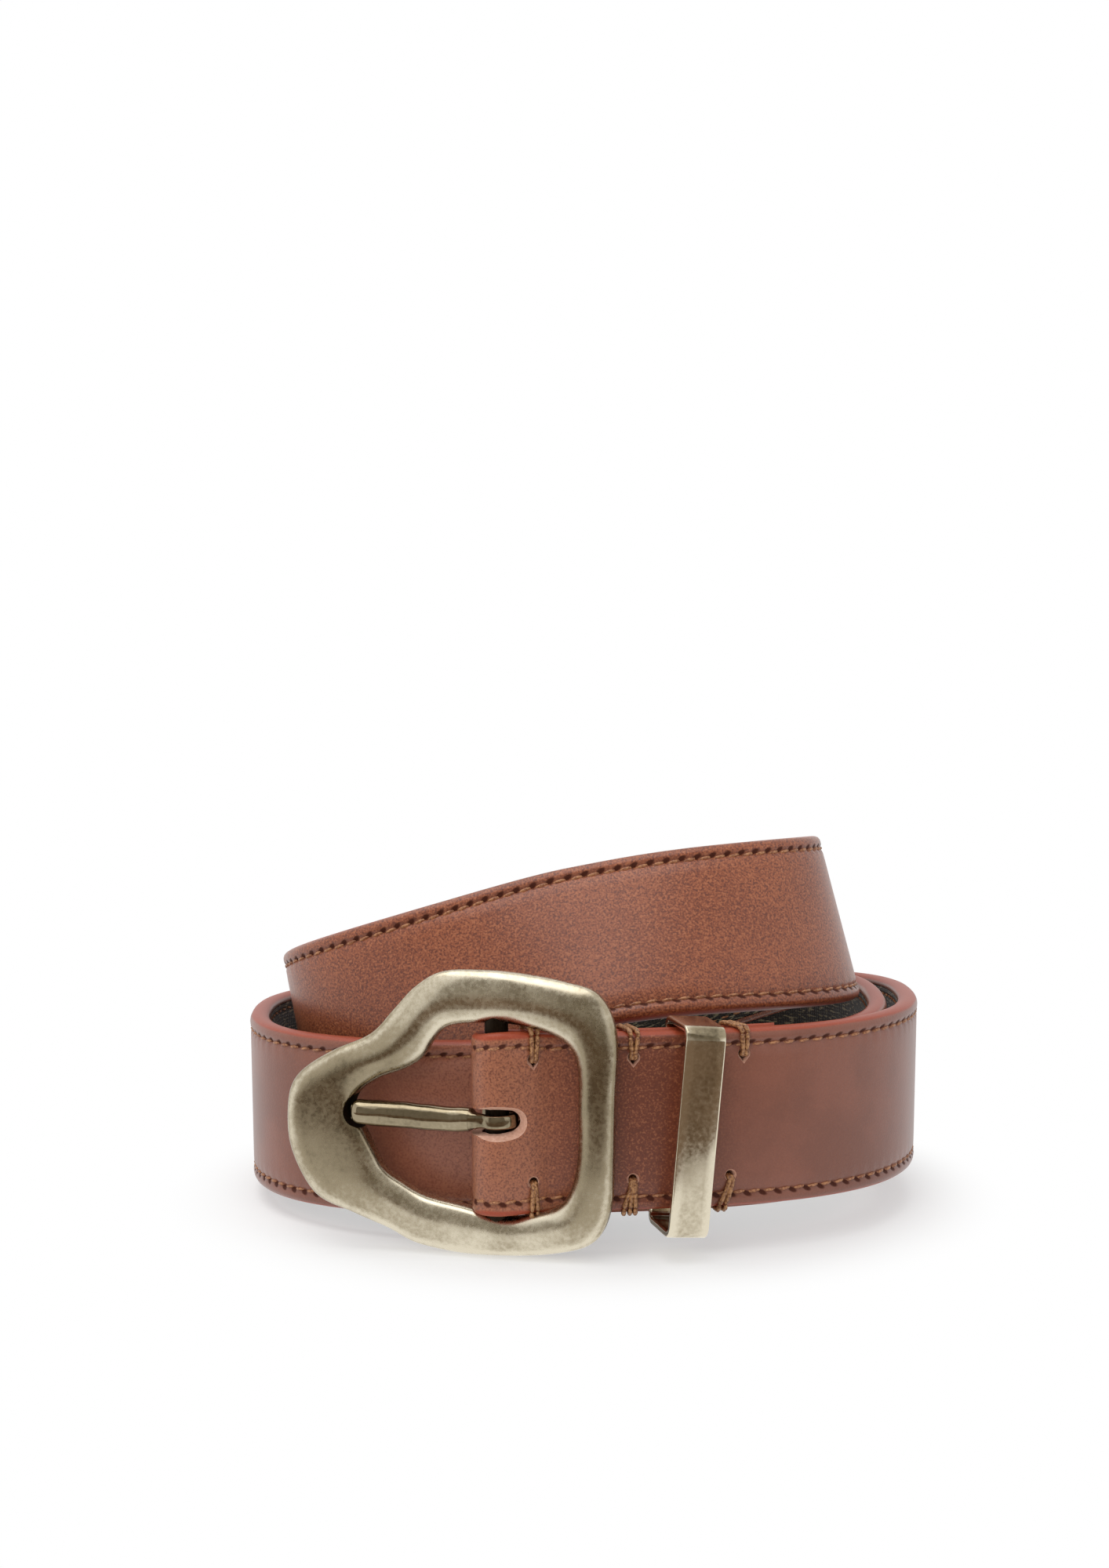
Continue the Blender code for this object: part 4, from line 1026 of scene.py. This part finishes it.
def stitching(belt, thread):
    """Lock stitches: a slanted thread from hole to hole, on the face and the lining."""
    verts, faces = [], []
    count = int((STRAP_LENGTH - 5 * MM) / STITCH_PITCH)
    for k in range(-2, count):
        for side in (1, -1):
            line, back_line = [], []
            for i, (share, lift) in enumerate(STITCH_ARCH):
                place = (k + share) * STITCH_PITCH
                station, face = surface_at(belt, place)
                slant = (share - 0.5) * 2 * STITCH_SLANT
                wave = hand_wave(station, place)
                half = point_width(place) / 2
                up = side * (half - ROW_INSET) + slant
                if side > 0:
                    up += fold_rise(place)
                bed = face - (THREAD_BED - wave if place >= FOLD_LEAD else FOLD_THREAD_BED)
                line.append((station.at(up, bed + lift * MM), station.out))
                if place > FOLD_LEAD + 8 * MM and i % 2 == 0:
                    low = -HALF_THICK + LINING_THREAD_BED + wave
                    back_line.append((station.at(up, low - lift * 0.8 * MM), station.out))
            tube(line, THREAD_RADIUS, 6, verts, faces)
            if len(back_line) == 4:
                tube(back_line, THREAD_RADIUS * 0.9, 5, verts, faces)
    item = smooth_piece("edge_stitching", verts, faces)
    finish_piece(item, thread, "strap", "waxed_thread")


# ------------------------------------------------------------------ lashings
# Offsets of each lashing's strands, in millimetres: at its slit, and at the strap's edge
# in front and behind
UPPER_SPLAYS = (((-0.35, -0.5, -1.5), (0.35, 0.8, -0.3)),
                ((-0.35, -0.6, -2.6), (0.3, 0.85, -1.2)),
                ((-0.35, -0.55, -2.8), (0.35, 0.6, -1.6)))
LOWER_SPLAYS = (((-0.25, -0.6, -0.4), (0.3, 0.75, 0.6)),
                ((-0.4, -1.8, -1.4), (0.0, -0.6, -0.4), (0.4, 0.45, 0.6)),
                ((-0.3, -2.4, -2.2), (0.3, -1.1, -1.0)))


def stack_faces(belt, place):
    """Front and back faces of the doubled strap, each a point and its way along."""
    if place >= FOLD_LEAD:
        station = belt.station(place)
        return ((station.at(0.0, HALF_THICK), station.along),
                (station.at(0.0, HALF_THICK - STACK_THICKNESS), station.along))
    first = belt.station(FOLD_LEAD)
    goal = belt.bar.x + place
    row = belt.fold[len(belt.fold) // 2:]
    for (_, one, thick_1), (_, two, thick_2) in zip(row, row[1:]):
        if one.point.x <= goal <= two.point.x:
            t = (goal - one.point.x) / (two.point.x - one.point.x)
            face = one.at(0.0, thick_1).lerp(two.at(0.0, thick_2), t)
            face_way = one.along.lerp(two.along, t)
    start = first.at(0.0, HALF_THICK - STACK_THICKNESS)
    behind = belt.bar + Vector((0.0, FOLD_RADIUS + TAIL_THICKNESS, 0.0))
    return (face, face_way), (behind.lerp(start, place / FOLD_LEAD), start - behind)


def lashing_seat(belt, place):
    """Middle of the stack at a lashing, the way out, and the ways along its two faces."""
    (face, face_way), (back, back_way) = stack_faces(belt, place)
    return (face + back) / 2, face - back, face_way.normalized(), back_way.normalized()


def lashing(belt, number, place, side, splay, cord):
    """Strands of waxed thread through a slit and over the strap's edge.

    splay holds for each strand its offset at the slit, and at the edge in front and behind.
    """
    middle, across, face_way, back_way = lashing_seat(belt, place)
    out = across.normalized()
    half = LASHING_THICKNESS / 2
    inner = HALF_WIDE - SLIT_INSETS[side]
    outer = HALF_WIDE + THREAD_GAP + half
    if side > 0 and place < FOLD_LEAD:
        outer += FOLD_RISE * 0.8
    reach = across.length / 2 + THREAD_GAP * 0.6 + half * 0.8
    corners = ((outer, reach), (outer, -reach), (inner, -reach), (inner, reach))
    track = [(up + bend * math.cos(angle), depth + bend * math.sin(angle), angle)
             for (up, depth), bend, angle in rounded_corners(corners, CORD_BENDS, 1, -1, 6)]
    fine = divided(track, CORD_STEP)
    verts, faces = [], []
    for strand, (at_slit, in_front, behind) in enumerate(splay):
        line = []
        for up, depth, angle in fine + fine[:1]:
            forward = min(max((depth / reach + 1) / 2, 0.0), 1.0)
            along = back_way.lerp(face_way, forward).normalized()
            normal = UP * side * math.cos(angle) + along.cross(UP) * math.sin(angle)
            share = ease(inner + 0.3 * MM, outer - 0.3 * MM, up)
            at_edge = behind + (in_front - behind) * forward
            offset = (at_slit + (at_edge - at_slit) * share) * MM
            bob = CORD_WANDER * math.sin(7.0 * strand + up / MM * 0.9)
            line.append((middle + UP * side * up + out * depth + along * offset + normal * bob,
                         normal))
        tube(line, STRAND_RADIUS, 10, verts, faces, lobes=0.13,
             twist=2 * math.pi / CORD_TWIST)
    which = f"{number}_{'top' if side > 0 else 'bottom'}"
    item = smooth_piece(f"lashing_strands_{which}", verts, faces, sharp=70.0)
    finish_piece(item, cord, "strap", "waxed_thread", f"lashing_{which}")


# ------------------------------------------------------------------ buckle
FRAME_STATIONS = (
    (-28.5, 0.06, 176), (-27.5, 0.23, 165), (-23.5, 0.38, 152), (-18.0, 0.49, 138),
    (-14.5, 0.61, 123), (-12.4, 0.77, 109), (-9.2, 0.92, 99), (-2.5, 0.975, 92),
    (4.5, 0.965, 86), (10.5, 0.895, 74), (14.3, 0.78, 60), (16.0, 0.57, 42),
    (16.2, 0.19, 8), (16.0, -0.30, 0), (14.6, -0.61, -25), (12.0, -0.79, -42),
    (7.5, -0.87, -60), (2.0, -0.912, -90), (-6.0, -0.83, -97), (-14.0, -0.755, -102),
    (-19.0, -0.63, -108), (-22.5, -0.51, -125), (-24.5, -0.33, -143), (-26.5, -0.12, -162),
)
RAIL_WIDTHS = (
    13.4, 12.6, 10.6, 9.6, 10.7, 11.0, 10.6, 10.0, 9.8, 10.4, 11.5, 10.0,
    7.1, 7.0, 8.6, 9.7, 8.8, 7.8, 9.6, 9.95, 9.9, 11.2, 15.3, 15.6,
)
HEEL_STATION = 13
BAR_FOOT_SHARE = 1.02
HALF_OPENING = HALF_WIDE + FRAME_SIDE_ROOM
# Slope of the casting's front down to its inner edge and to its outer edge, and how much
# of it there is at each station: the nose is flat, and the rails have a soft ridge
INNER_SLOPE, OUTER_SLOPE = 0.26, 0.22
BEVEL = (0.0, 0.35, 1.0, 1.5, 1.5, 1.2, 0.8, 0.55, 0.7, 0.9, 1.0, 1.0,
         1.0, 1.0, 1.0, 0.9, 0.55, 0.45, 0.6, 0.9, 0.8, 0.5, 0.2, 0.0)
# How far each station is lighter: rubbed bright, and on the upper and lower rails also painted
# reflection; the nose keeps its patina and is darker, also as painted shade
RUBBED_AND_LIT = (-0.22, -0.2, -0.16, -0.12, 0.0, 0.12, 0.22, 0.26, 0.24, 0.12, 0.0, -0.12,
          -0.18, -0.15, 0.0, 0.14, 0.22, 0.26, 0.24, 0.2, 0.1, -0.02, -0.14, -0.2)
RIDGE_PLACE = -0.22                 # from the inner edge, -1, to the outer, 1
# The prong's shank: share of its length from the tip, and the size of its section
PRONG_SHANK = ((0.0, 0.45), (0.012, 0.75), (0.04, 0.94), (0.09, 1.0), (0.25, 1.0),
               (0.45, 0.97), (0.62, 1.0), (0.8, 0.95), (0.93, 0.92), (0.985, 0.86))


def bar_foot():
    """Height of the bar's lower end from its middle, inside the frame's rail."""
    return -BAR_FOOT_SHARE * HALF_OPENING - BAR_SOCKET_DEPTH


def buckle_place(belt):
    return Matrix.Translation(belt.bar) @ Matrix.Rotation(-FRAME_SWING, 4, "Z")


def buckle_frame(belt, brass, dark):
    """The cast frame: a soft-edged rail whose width changes all the way round."""
    count = len(FRAME_STATIONS)
    substeps, sides = 9, 36

    def between(column):
        return spline(*(column[(index + k) % count] for k in (-1, 0, 1, 2)), t)

    inner_x = [x * MM for x, _, _ in FRAME_STATIONS]
    inner_z = [z * HALF_OPENING for _, z, _ in FRAME_STATIONS]
    outer_x = [x + w * MM * math.cos(math.radians(a))
               for x, w, (_, _, a) in zip(inner_x, RAIL_WIDTHS, FRAME_STATIONS)]
    outer_z = [z + w * MM * math.sin(math.radians(a))
               for z, w, (_, _, a) in zip(inner_z, RAIL_WIDTHS, FRAME_STATIONS)]
    place = buckle_place(belt)
    rings, maps = [], []
    for index in range(count):
        for step in range(substeps):
            t = step / substeps
            inner = Vector((between(inner_x), 0.0, between(inner_z)))
            outer = Vector((between(outer_x), 0.0, between(outer_z)))
            # rubbed is the station's lightness: wear and painted light together
            bevel, rubbed = between(BEVEL), between(RUBBED_AND_LIT)
            middle, half = (inner + outer) / 2, (outer - inner) / 2
            square = min(FRAME_ROUNDING / half.length, 0.75)
            ring, laid = [], []
            for side in range(sides):
                angle = 2 * math.pi * side / sides
                wide = squared_off(math.cos(angle), square)
                deep = squared_off(math.sin(angle), RAIL_DEPTH_POWER)
                across = wide - RIDGE_PLACE
                slope = across * OUTER_SLOPE if across > 0 else -INNER_SLOPE
                drop = across * slope * half.length * bevel
                point = middle + half * wide
                point.y = -(FRAME_DEPTH / 2 * deep - (drop * deep if deep > 0 else 0.0))
                dent = CAST_RIPPLE * noise.noise(point / CAST_SPAN)
                point += (half.normalized() * wide + Vector((0.0, -deep, 0.0))) * dent
                ring.append(place @ point)
                # Rounded edges and side walls are lighter than the flat front, as wear and as
                # painted highlight
                corner = min(abs(wide), abs(deep))
                wear_and_light = ease(0.55, 0.85, corner) * 0.45 + ease(0.9, 1.0, abs(wide)) * 0.2
                if wide < 0:            # inside, the nose is darker behind the prong: painted shade round the notch
                    wear_and_light *= ease(0.8, 2.8, min(index + t, count - index - t))
                else:                   # outside, the upper rail is kept darker: painted shade that tones down its highlight
                    wear_and_light *= (1 - 0.75 * ease(3.0, 5.0, index + t)
                             * (1 - ease(10.0, 12.0, index + t)))
                laid.append(((index + t) * 6.0, rubbed + wear_and_light))
            rings.append(ring)
            maps.append(laid)
    item = skin("buckle_casting", rings, maps, closed=True, sharp=75.0)
    finish_piece(item, brass, "buckle", "antique_brass", "buckle_frame")
    tip_x, tip_y, tip_z, _, _ = prong_lines()[0][0]
    floor = tip_y + PRONG_THICKNESS / 2 + SEAT_GAP
    outline = stadium(tip_x - NOTCH_ROOM, tip_x + 2 * FRAME_DEPTH, PRONG_WIDTH + NOTCH_ROOM,
                      sides=16)
    flat = axes(Vector((1.0, 0.0, 0.0)), UP, Vector((0.0, -1.0, 0.0)),
                Vector((0.0, 0.0, tip_z)))
    front = FRAME_DEPTH / 2
    # The notch is lined with the near-black brass: painted shade in the hollow
    carve(item, [(place @ flat, [(-floor - NOTCH_DEEPER, outline), (front - 0.5 * MM, outline),
                                 (front + 0.3 * MM, spread(outline, 0.4 * MM)),
                                 (2 * front, spread(outline, 0.6 * MM))])], dark)


def prong_lines():
    """Middle lines of the prong's shank, from its tip, and of its neck and curl.

    They lie in the frame's plane; a point is (x, y, z, width, thickness).
    """
    tip_x = (FRAME_STATIONS[0][0] + 0.3) * MM
    curl = BAR_DIAMETER / 2 + SEAT_GAP + PRONG_NECK_THICKNESS / 2
    shank_y = -curl + PRONG_SINK
    shoulder = -curl - 0.8 * MM
    shank = [(tip_x + (shoulder - tip_x) * share, shank_y,
              PRONG_TIP_RISE * (1 - share) + PRONG_LIFT * share,
              PRONG_WIDTH * size, PRONG_THICKNESS * size) for share, size in PRONG_SHANK]
    neck = [(shoulder + 0.4 * MM, shank_y - 0.3 * MM, PRONG_LIFT,
             PRONG_NECK_WIDTH * 1.1, PRONG_NECK_THICKNESS * 1.7)]
    for degrees in range(125, -151, -25):
        round_bar = spoke(math.radians(degrees)) * curl
        neck.append((round_bar.x, -round_bar.y, PRONG_LIFT,
                     PRONG_NECK_WIDTH, PRONG_NECK_THICKNESS))
    return shank, neck


def fine_line(line, pieces):
    """The prong's line divided more finely, by splines in all its measures."""
    fine = []
    last = len(line) - 1
    for i in range(last):
        four = [line[min(max(i + k, 0), last)] for k in (-1, 0, 1, 2)]
        for step in range(pieces):
            t = step / pieces
            fine.append(tuple(spline(*values, t) for values in zip(*four)))
    fine.append(line[-1])
    return fine


def prong(belt, brass):
    """The pin: a rounded shank with a hammered wave, a flat neck and a curl on the bar."""
    shank, neck = prong_lines()
    line = fine_line(shank, 5) + fine_line(neck, 4)
    place = buckle_place(belt)
    sides = 28
    rings, maps = [], []
    for i, (x, y, z, width, thickness) in enumerate(line):
        before, after = line[max(i - 1, 0)], line[min(i + 1, len(line) - 1)]
        along = Vector((after[0] - before[0], after[1] - before[1], 0.0)).normalized()
        normal = Vector((along.y, -along.x, 0.0))
        flat = 0.95 if width > PRONG_NECK_WIDTH * 1.15 else 0.55
        ring, laid = [], []
        for side in range(sides):
            angle = 2 * math.pi * side / sides
            c, s = math.cos(angle), math.sin(angle)
            wide = squared_off(c, flat) * width / 2
            deep = squared_off(s, flat) * thickness / 2
            point = Vector((x, y, z)) + UP * wide + normal * deep
            ripple = HAMMER_RIPPLE * noise.noise(point / HAMMER_SPAN)
            point += (UP * c + normal * s) * ripple
            ring.append(place @ point)
            # The neck, sunk in the slot, is darker than the shank: painted shade
            laid.append((x / MM, -0.15 if flat > 0.9 else -0.3))
        rings.append(ring)
        maps.append(laid)
    item = skin("prong_casting", rings, maps, sharp=60.0)
    finish_piece(item, brass, "prong", "antique_brass", "prong")


def keeper(belt, brass):
    """The loop: a flat band bent round the strap, crowned, with rounded rims that are lighter,
    as wear and as painted highlight, and its bend over the top darkened as painted shade.
    """
    station = belt.station(KEEPER_PLACE)
    side_reach = KEEPER_BAND / 2 + HALF_WIDE * math.sin(KEEPER_TILT)
    tilt_room = KEEPER_BAND / 2 * math.sin(KEEPER_TILT)
    turn_room = (side_reach * math.sin(KEEPER_TURN)
                 + STACK_THICKNESS * (1 / math.cos(KEEPER_TURN) - 1) / 2)
    top = HALF_WIDE / math.cos(KEEPER_TILT) + SEAT_GAP + tilt_room
    bottom = -HALF_WIDE - KEEPER_ROOM_BELOW
    front = HALF_THICK + turn_room + KEEPER_ROOM_FRONT
    back = HALF_THICK - STACK_THICKNESS - turn_room - SEAT_GAP
    wide, wall = KEEPER_BAND / 2, KEEPER_WALL
    # Rims are lighter, as wear and as painted highlight
    rims = [(a + edge * math.cos(angle), b + edge * math.sin(angle), 0.8)
            for (a, b), edge, angle in rounded_corners(
                ((wide, wall), (-wide, wall), (-wide, 0.0), (wide, 0.0)),
                (KEEPER_RIM,) * 4, 0, 1, 4)]
    face = [(wide * share, wall + KEEPER_CROWN, 0.0) for share in (0.5, 0.0, -0.5)]
    inside = [(wide * share, 0.0, 0.0) for share in (-0.5, 0.0, 0.5)]
    section = rims[:5] + face + rims[5:15] + inside + rims[15:]
    turn = Matrix.Rotation(KEEPER_TURN, 4, "Z") @ Matrix.Rotation(KEEPER_TILT, 4, "Y")
    place = axes(station.along, -station.out, UP, station.point) @ turn
    track = [(depth, up, angle, bend) for (depth, up), bend, angle in rounded_corners(
        ((front, bottom), (front, top), (back, top), (back, bottom)),
        (KEEPER_FRONT_CORNER,) * 2 + (KEEPER_CORNER,) * 2, -1, 1, 8)]
    rings, maps = [], []
    for n, (centre_depth, centre_up, angle, bend) in enumerate(divided(track, KEEPER_STEP)):
        ahead, above = math.cos(angle), math.sin(angle)
        # The bend over the top is darkened: painted shade
        top_shade = 0.6 * ease(0.02, 0.4, above) * (1 - 0.6 * ease(0.8, 1.0, above))
        ring, laid = [], []
        for a, b, wear_and_light in section:
            reach = bend + b
            point = Vector((a, -centre_depth - ahead * reach, centre_up + above * reach))
            ripple = KEEPER_RIPPLE * noise.noise(point / CAST_SPAN)
            point += Vector((0.0, -ahead, above)) * ripple
            ring.append(place @ point)
            laid.append((n * 1.5, 0.25 - top_shade + wear_and_light * 0.5))
        rings.append(ring)
        maps.append(laid)
    item = skin("keeper_loop", rings, maps, closed=True, sharp=60.0)
    finish_piece(item, brass, "keeper", "antique_brass", "keeper")


# ------------------------------------------------------------------ studio
def paper_floor():
    """Pale floor, which keeps the belt's shadow and runs into white away from it."""
    shape = bmesh.new()
    bmesh.ops.create_circle(shape, cap_ends=True, segments=96, radius=2.5)
    mesh = bpy.data.meshes.new("floor")
    shape.to_mesh(mesh)
    shape.free()
    floor = add_object("floor", mesh)
    floor.location.z = cad_box[0].z - 0.05 * MM
    # Matt white background paper
    material, node, shader = new_finish("seamless_paper")
    connect(shader, {"Base Color": "#F4F3F1", "Roughness": 0.95, "Specular IOR Level": 0.1})
    where = node("ShaderNodeTexCoord").outputs["Object"]
    span = node("ShaderNodeVectorMath", {"operation": "LENGTH"}, [where])
    rays = node("ShaderNodeLightPath")
    share = 0.0
    for ray, near, far, least in (("Is Camera Ray", 0.064, 0.090, 0.45),
                                  ("Is Glossy Ray", 0.042, 0.056, 0.0),
                                  ("Is Transmission Ray", 0.064, 0.090, 0.0)):
        fade = node(RANGE, SOFT, [span, near, far, least])
        faded = node(MATHS, TIMES, [fade, rays.outputs[ray]])
        share = node(MATHS, LARGER, [share, faded])
    white = node("ShaderNodeEmission", None, [WHITE, 1.0])
    blend = node("ShaderNodeMixShader", None, [share, shader, white])
    connect(material.node_tree.nodes["Material Output"], {"Surface": blend})
    mesh.materials.append(material)


def pale_room():
    """Pale room light, and plain white for the rays that show the background."""
    world = bpy.data.worlds.new("pale_room")
    bpy.context.scene.world = world
    world.use_nodes = True
    node = partial(add_node, world.node_tree)
    room = world.node_tree.nodes["Background"]
    connect(room, ["#F3F5F8", 0.80])
    white = node("ShaderNodeBackground", None, [WHITE, 1.0])
    rays = node("ShaderNodeLightPath")
    shown = 0.0
    for ray in ("Is Camera Ray", "Is Glossy Ray", "Is Transmission Ray"):
        shown = node(MATHS, LARGER, [shown, rays.outputs[ray]])
    blend = node("ShaderNodeMixShader", None, [shown, room, white])
    connect(world.node_tree.nodes["World Output"], {"Surface": blend})


# Each lamp's width, depth, power and spot, and whether the metal mirrors it
LAMPS = {"overhead_softbox": (1.1, 0.6, 2.8, (-0.20, -0.12, 0.90), True),
         "overhead_lift": (1.1, 0.6, 0.8, (-0.20, -0.12, 0.92), False),
         "front_fill": (0.5, 0.5, 1.6, (-0.25, -0.80, 0.35), False)}
# What the metal mirrors in front: a grey wall, and brown board on the table before it
CARDS = {"grey_wall": ("#ABA499", ((-1.0, -1.1, 0.0), (0.9, -1.1, 0.0), (0.9, -1.1, 1.5),
                                   (-1.0, -1.1, 1.5))),
         "brown_board": ("#6B5540", ((-1.0, -1.1, 0.001), (0.9, -1.1, 0.001),
                                     (0.30, -0.128, 0.001), (-0.02, -0.128, 0.001),
                                     (-0.32, -0.115, 0.001)))}


def lamps_and_cards():
    for name, (wide, deep, power, spot, mirrored) in LAMPS.items():
        data = bpy.data.lights.new(name, "AREA")
        data.shape = "RECTANGLE"
        data.size, data.size_y, data.energy = wide, deep, power
        lamp = add_object(name, data)
        lamp.location = spot
        aim = Vector((0.0, 0.0, 0.03)) - lamp.location
        lamp.rotation_euler = aim.to_track_quat("-Z", "Y").to_euler()
        lamp.visible_glossy = mirrored
    for name, (colour, corners) in CARDS.items():
        material, _, shader = new_finish(name)
        connect(shader, {"Base Color": colour, "Roughness": 0.9})
        mesh = bpy.data.meshes.new(name)
        mesh.from_pydata(corners, [], [range(len(corners))])
        mesh.materials.append(material)
        card = add_object(name, mesh)
        card.visible_camera = card.visible_shadow = card.visible_diffuse = False


def camera():
    """Camera a little above the belt and straight before it, with a shifted lens."""
    data = bpy.data.cameras.new("camera")
    data.lens, data.sensor_width = 64.8, 36.0
    data.shift_x, data.shift_y = -0.018, 0.19
    item = add_object("camera", data)
    elevation, distance = math.radians(12.0), 0.6
    back = Vector((0.0, -math.cos(elevation), math.sin(elevation)))
    item.location = Vector((0.0, 0.00657, 0.0217)) + distance * back
    item.rotation_euler = (math.pi / 2 - elevation, 0.0, 0.0)
    bpy.context.scene.camera = item
    bpy.context.scene.view_settings.view_transform = "Standard"


# ------------------------------------------------------------------ the whole belt
def make_belt():
    hide, raw, cloth = tan_hide(), raw_split(), lining_cloth()
    thread = waxed_cord("sewing_thread", "#7E4B30", "#AD7850")
    cord = waxed_cord("lashing_cord", "#6C4126", "#AE7F54")
    satin, polished = aged_brass("satin_brass", 0.22), aged_brass("polished_brass", 0.09)
    dark = shadow_brass()
    belt = Belt()
    openings = lashing_slits(belt) + adjusting_holes(belt)
    strap_hide(belt, hide, [prong_slot(belt)] + openings, raw)
    strap_lining(belt, cloth, openings, raw)
    stitching(belt, thread)
    for number in range(3):
        lashing(belt, number + 1, UPPER_LASHINGS[number], 1, UPPER_SPLAYS[number], cord)
        lashing(belt, number + 1, LOWER_LASHINGS[number], -1, LOWER_SPLAYS[number], cord)
    buckle_frame(belt, satin, dark)
    prong(belt, polished)
    keeper(belt, polished)
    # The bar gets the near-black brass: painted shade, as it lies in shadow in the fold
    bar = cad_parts["centre_bar"]
    bar.data.materials.clear()
    bar.data.materials.append(dark)


make_belt()
paper_floor()
pale_room()
lamps_and_cards()
camera()
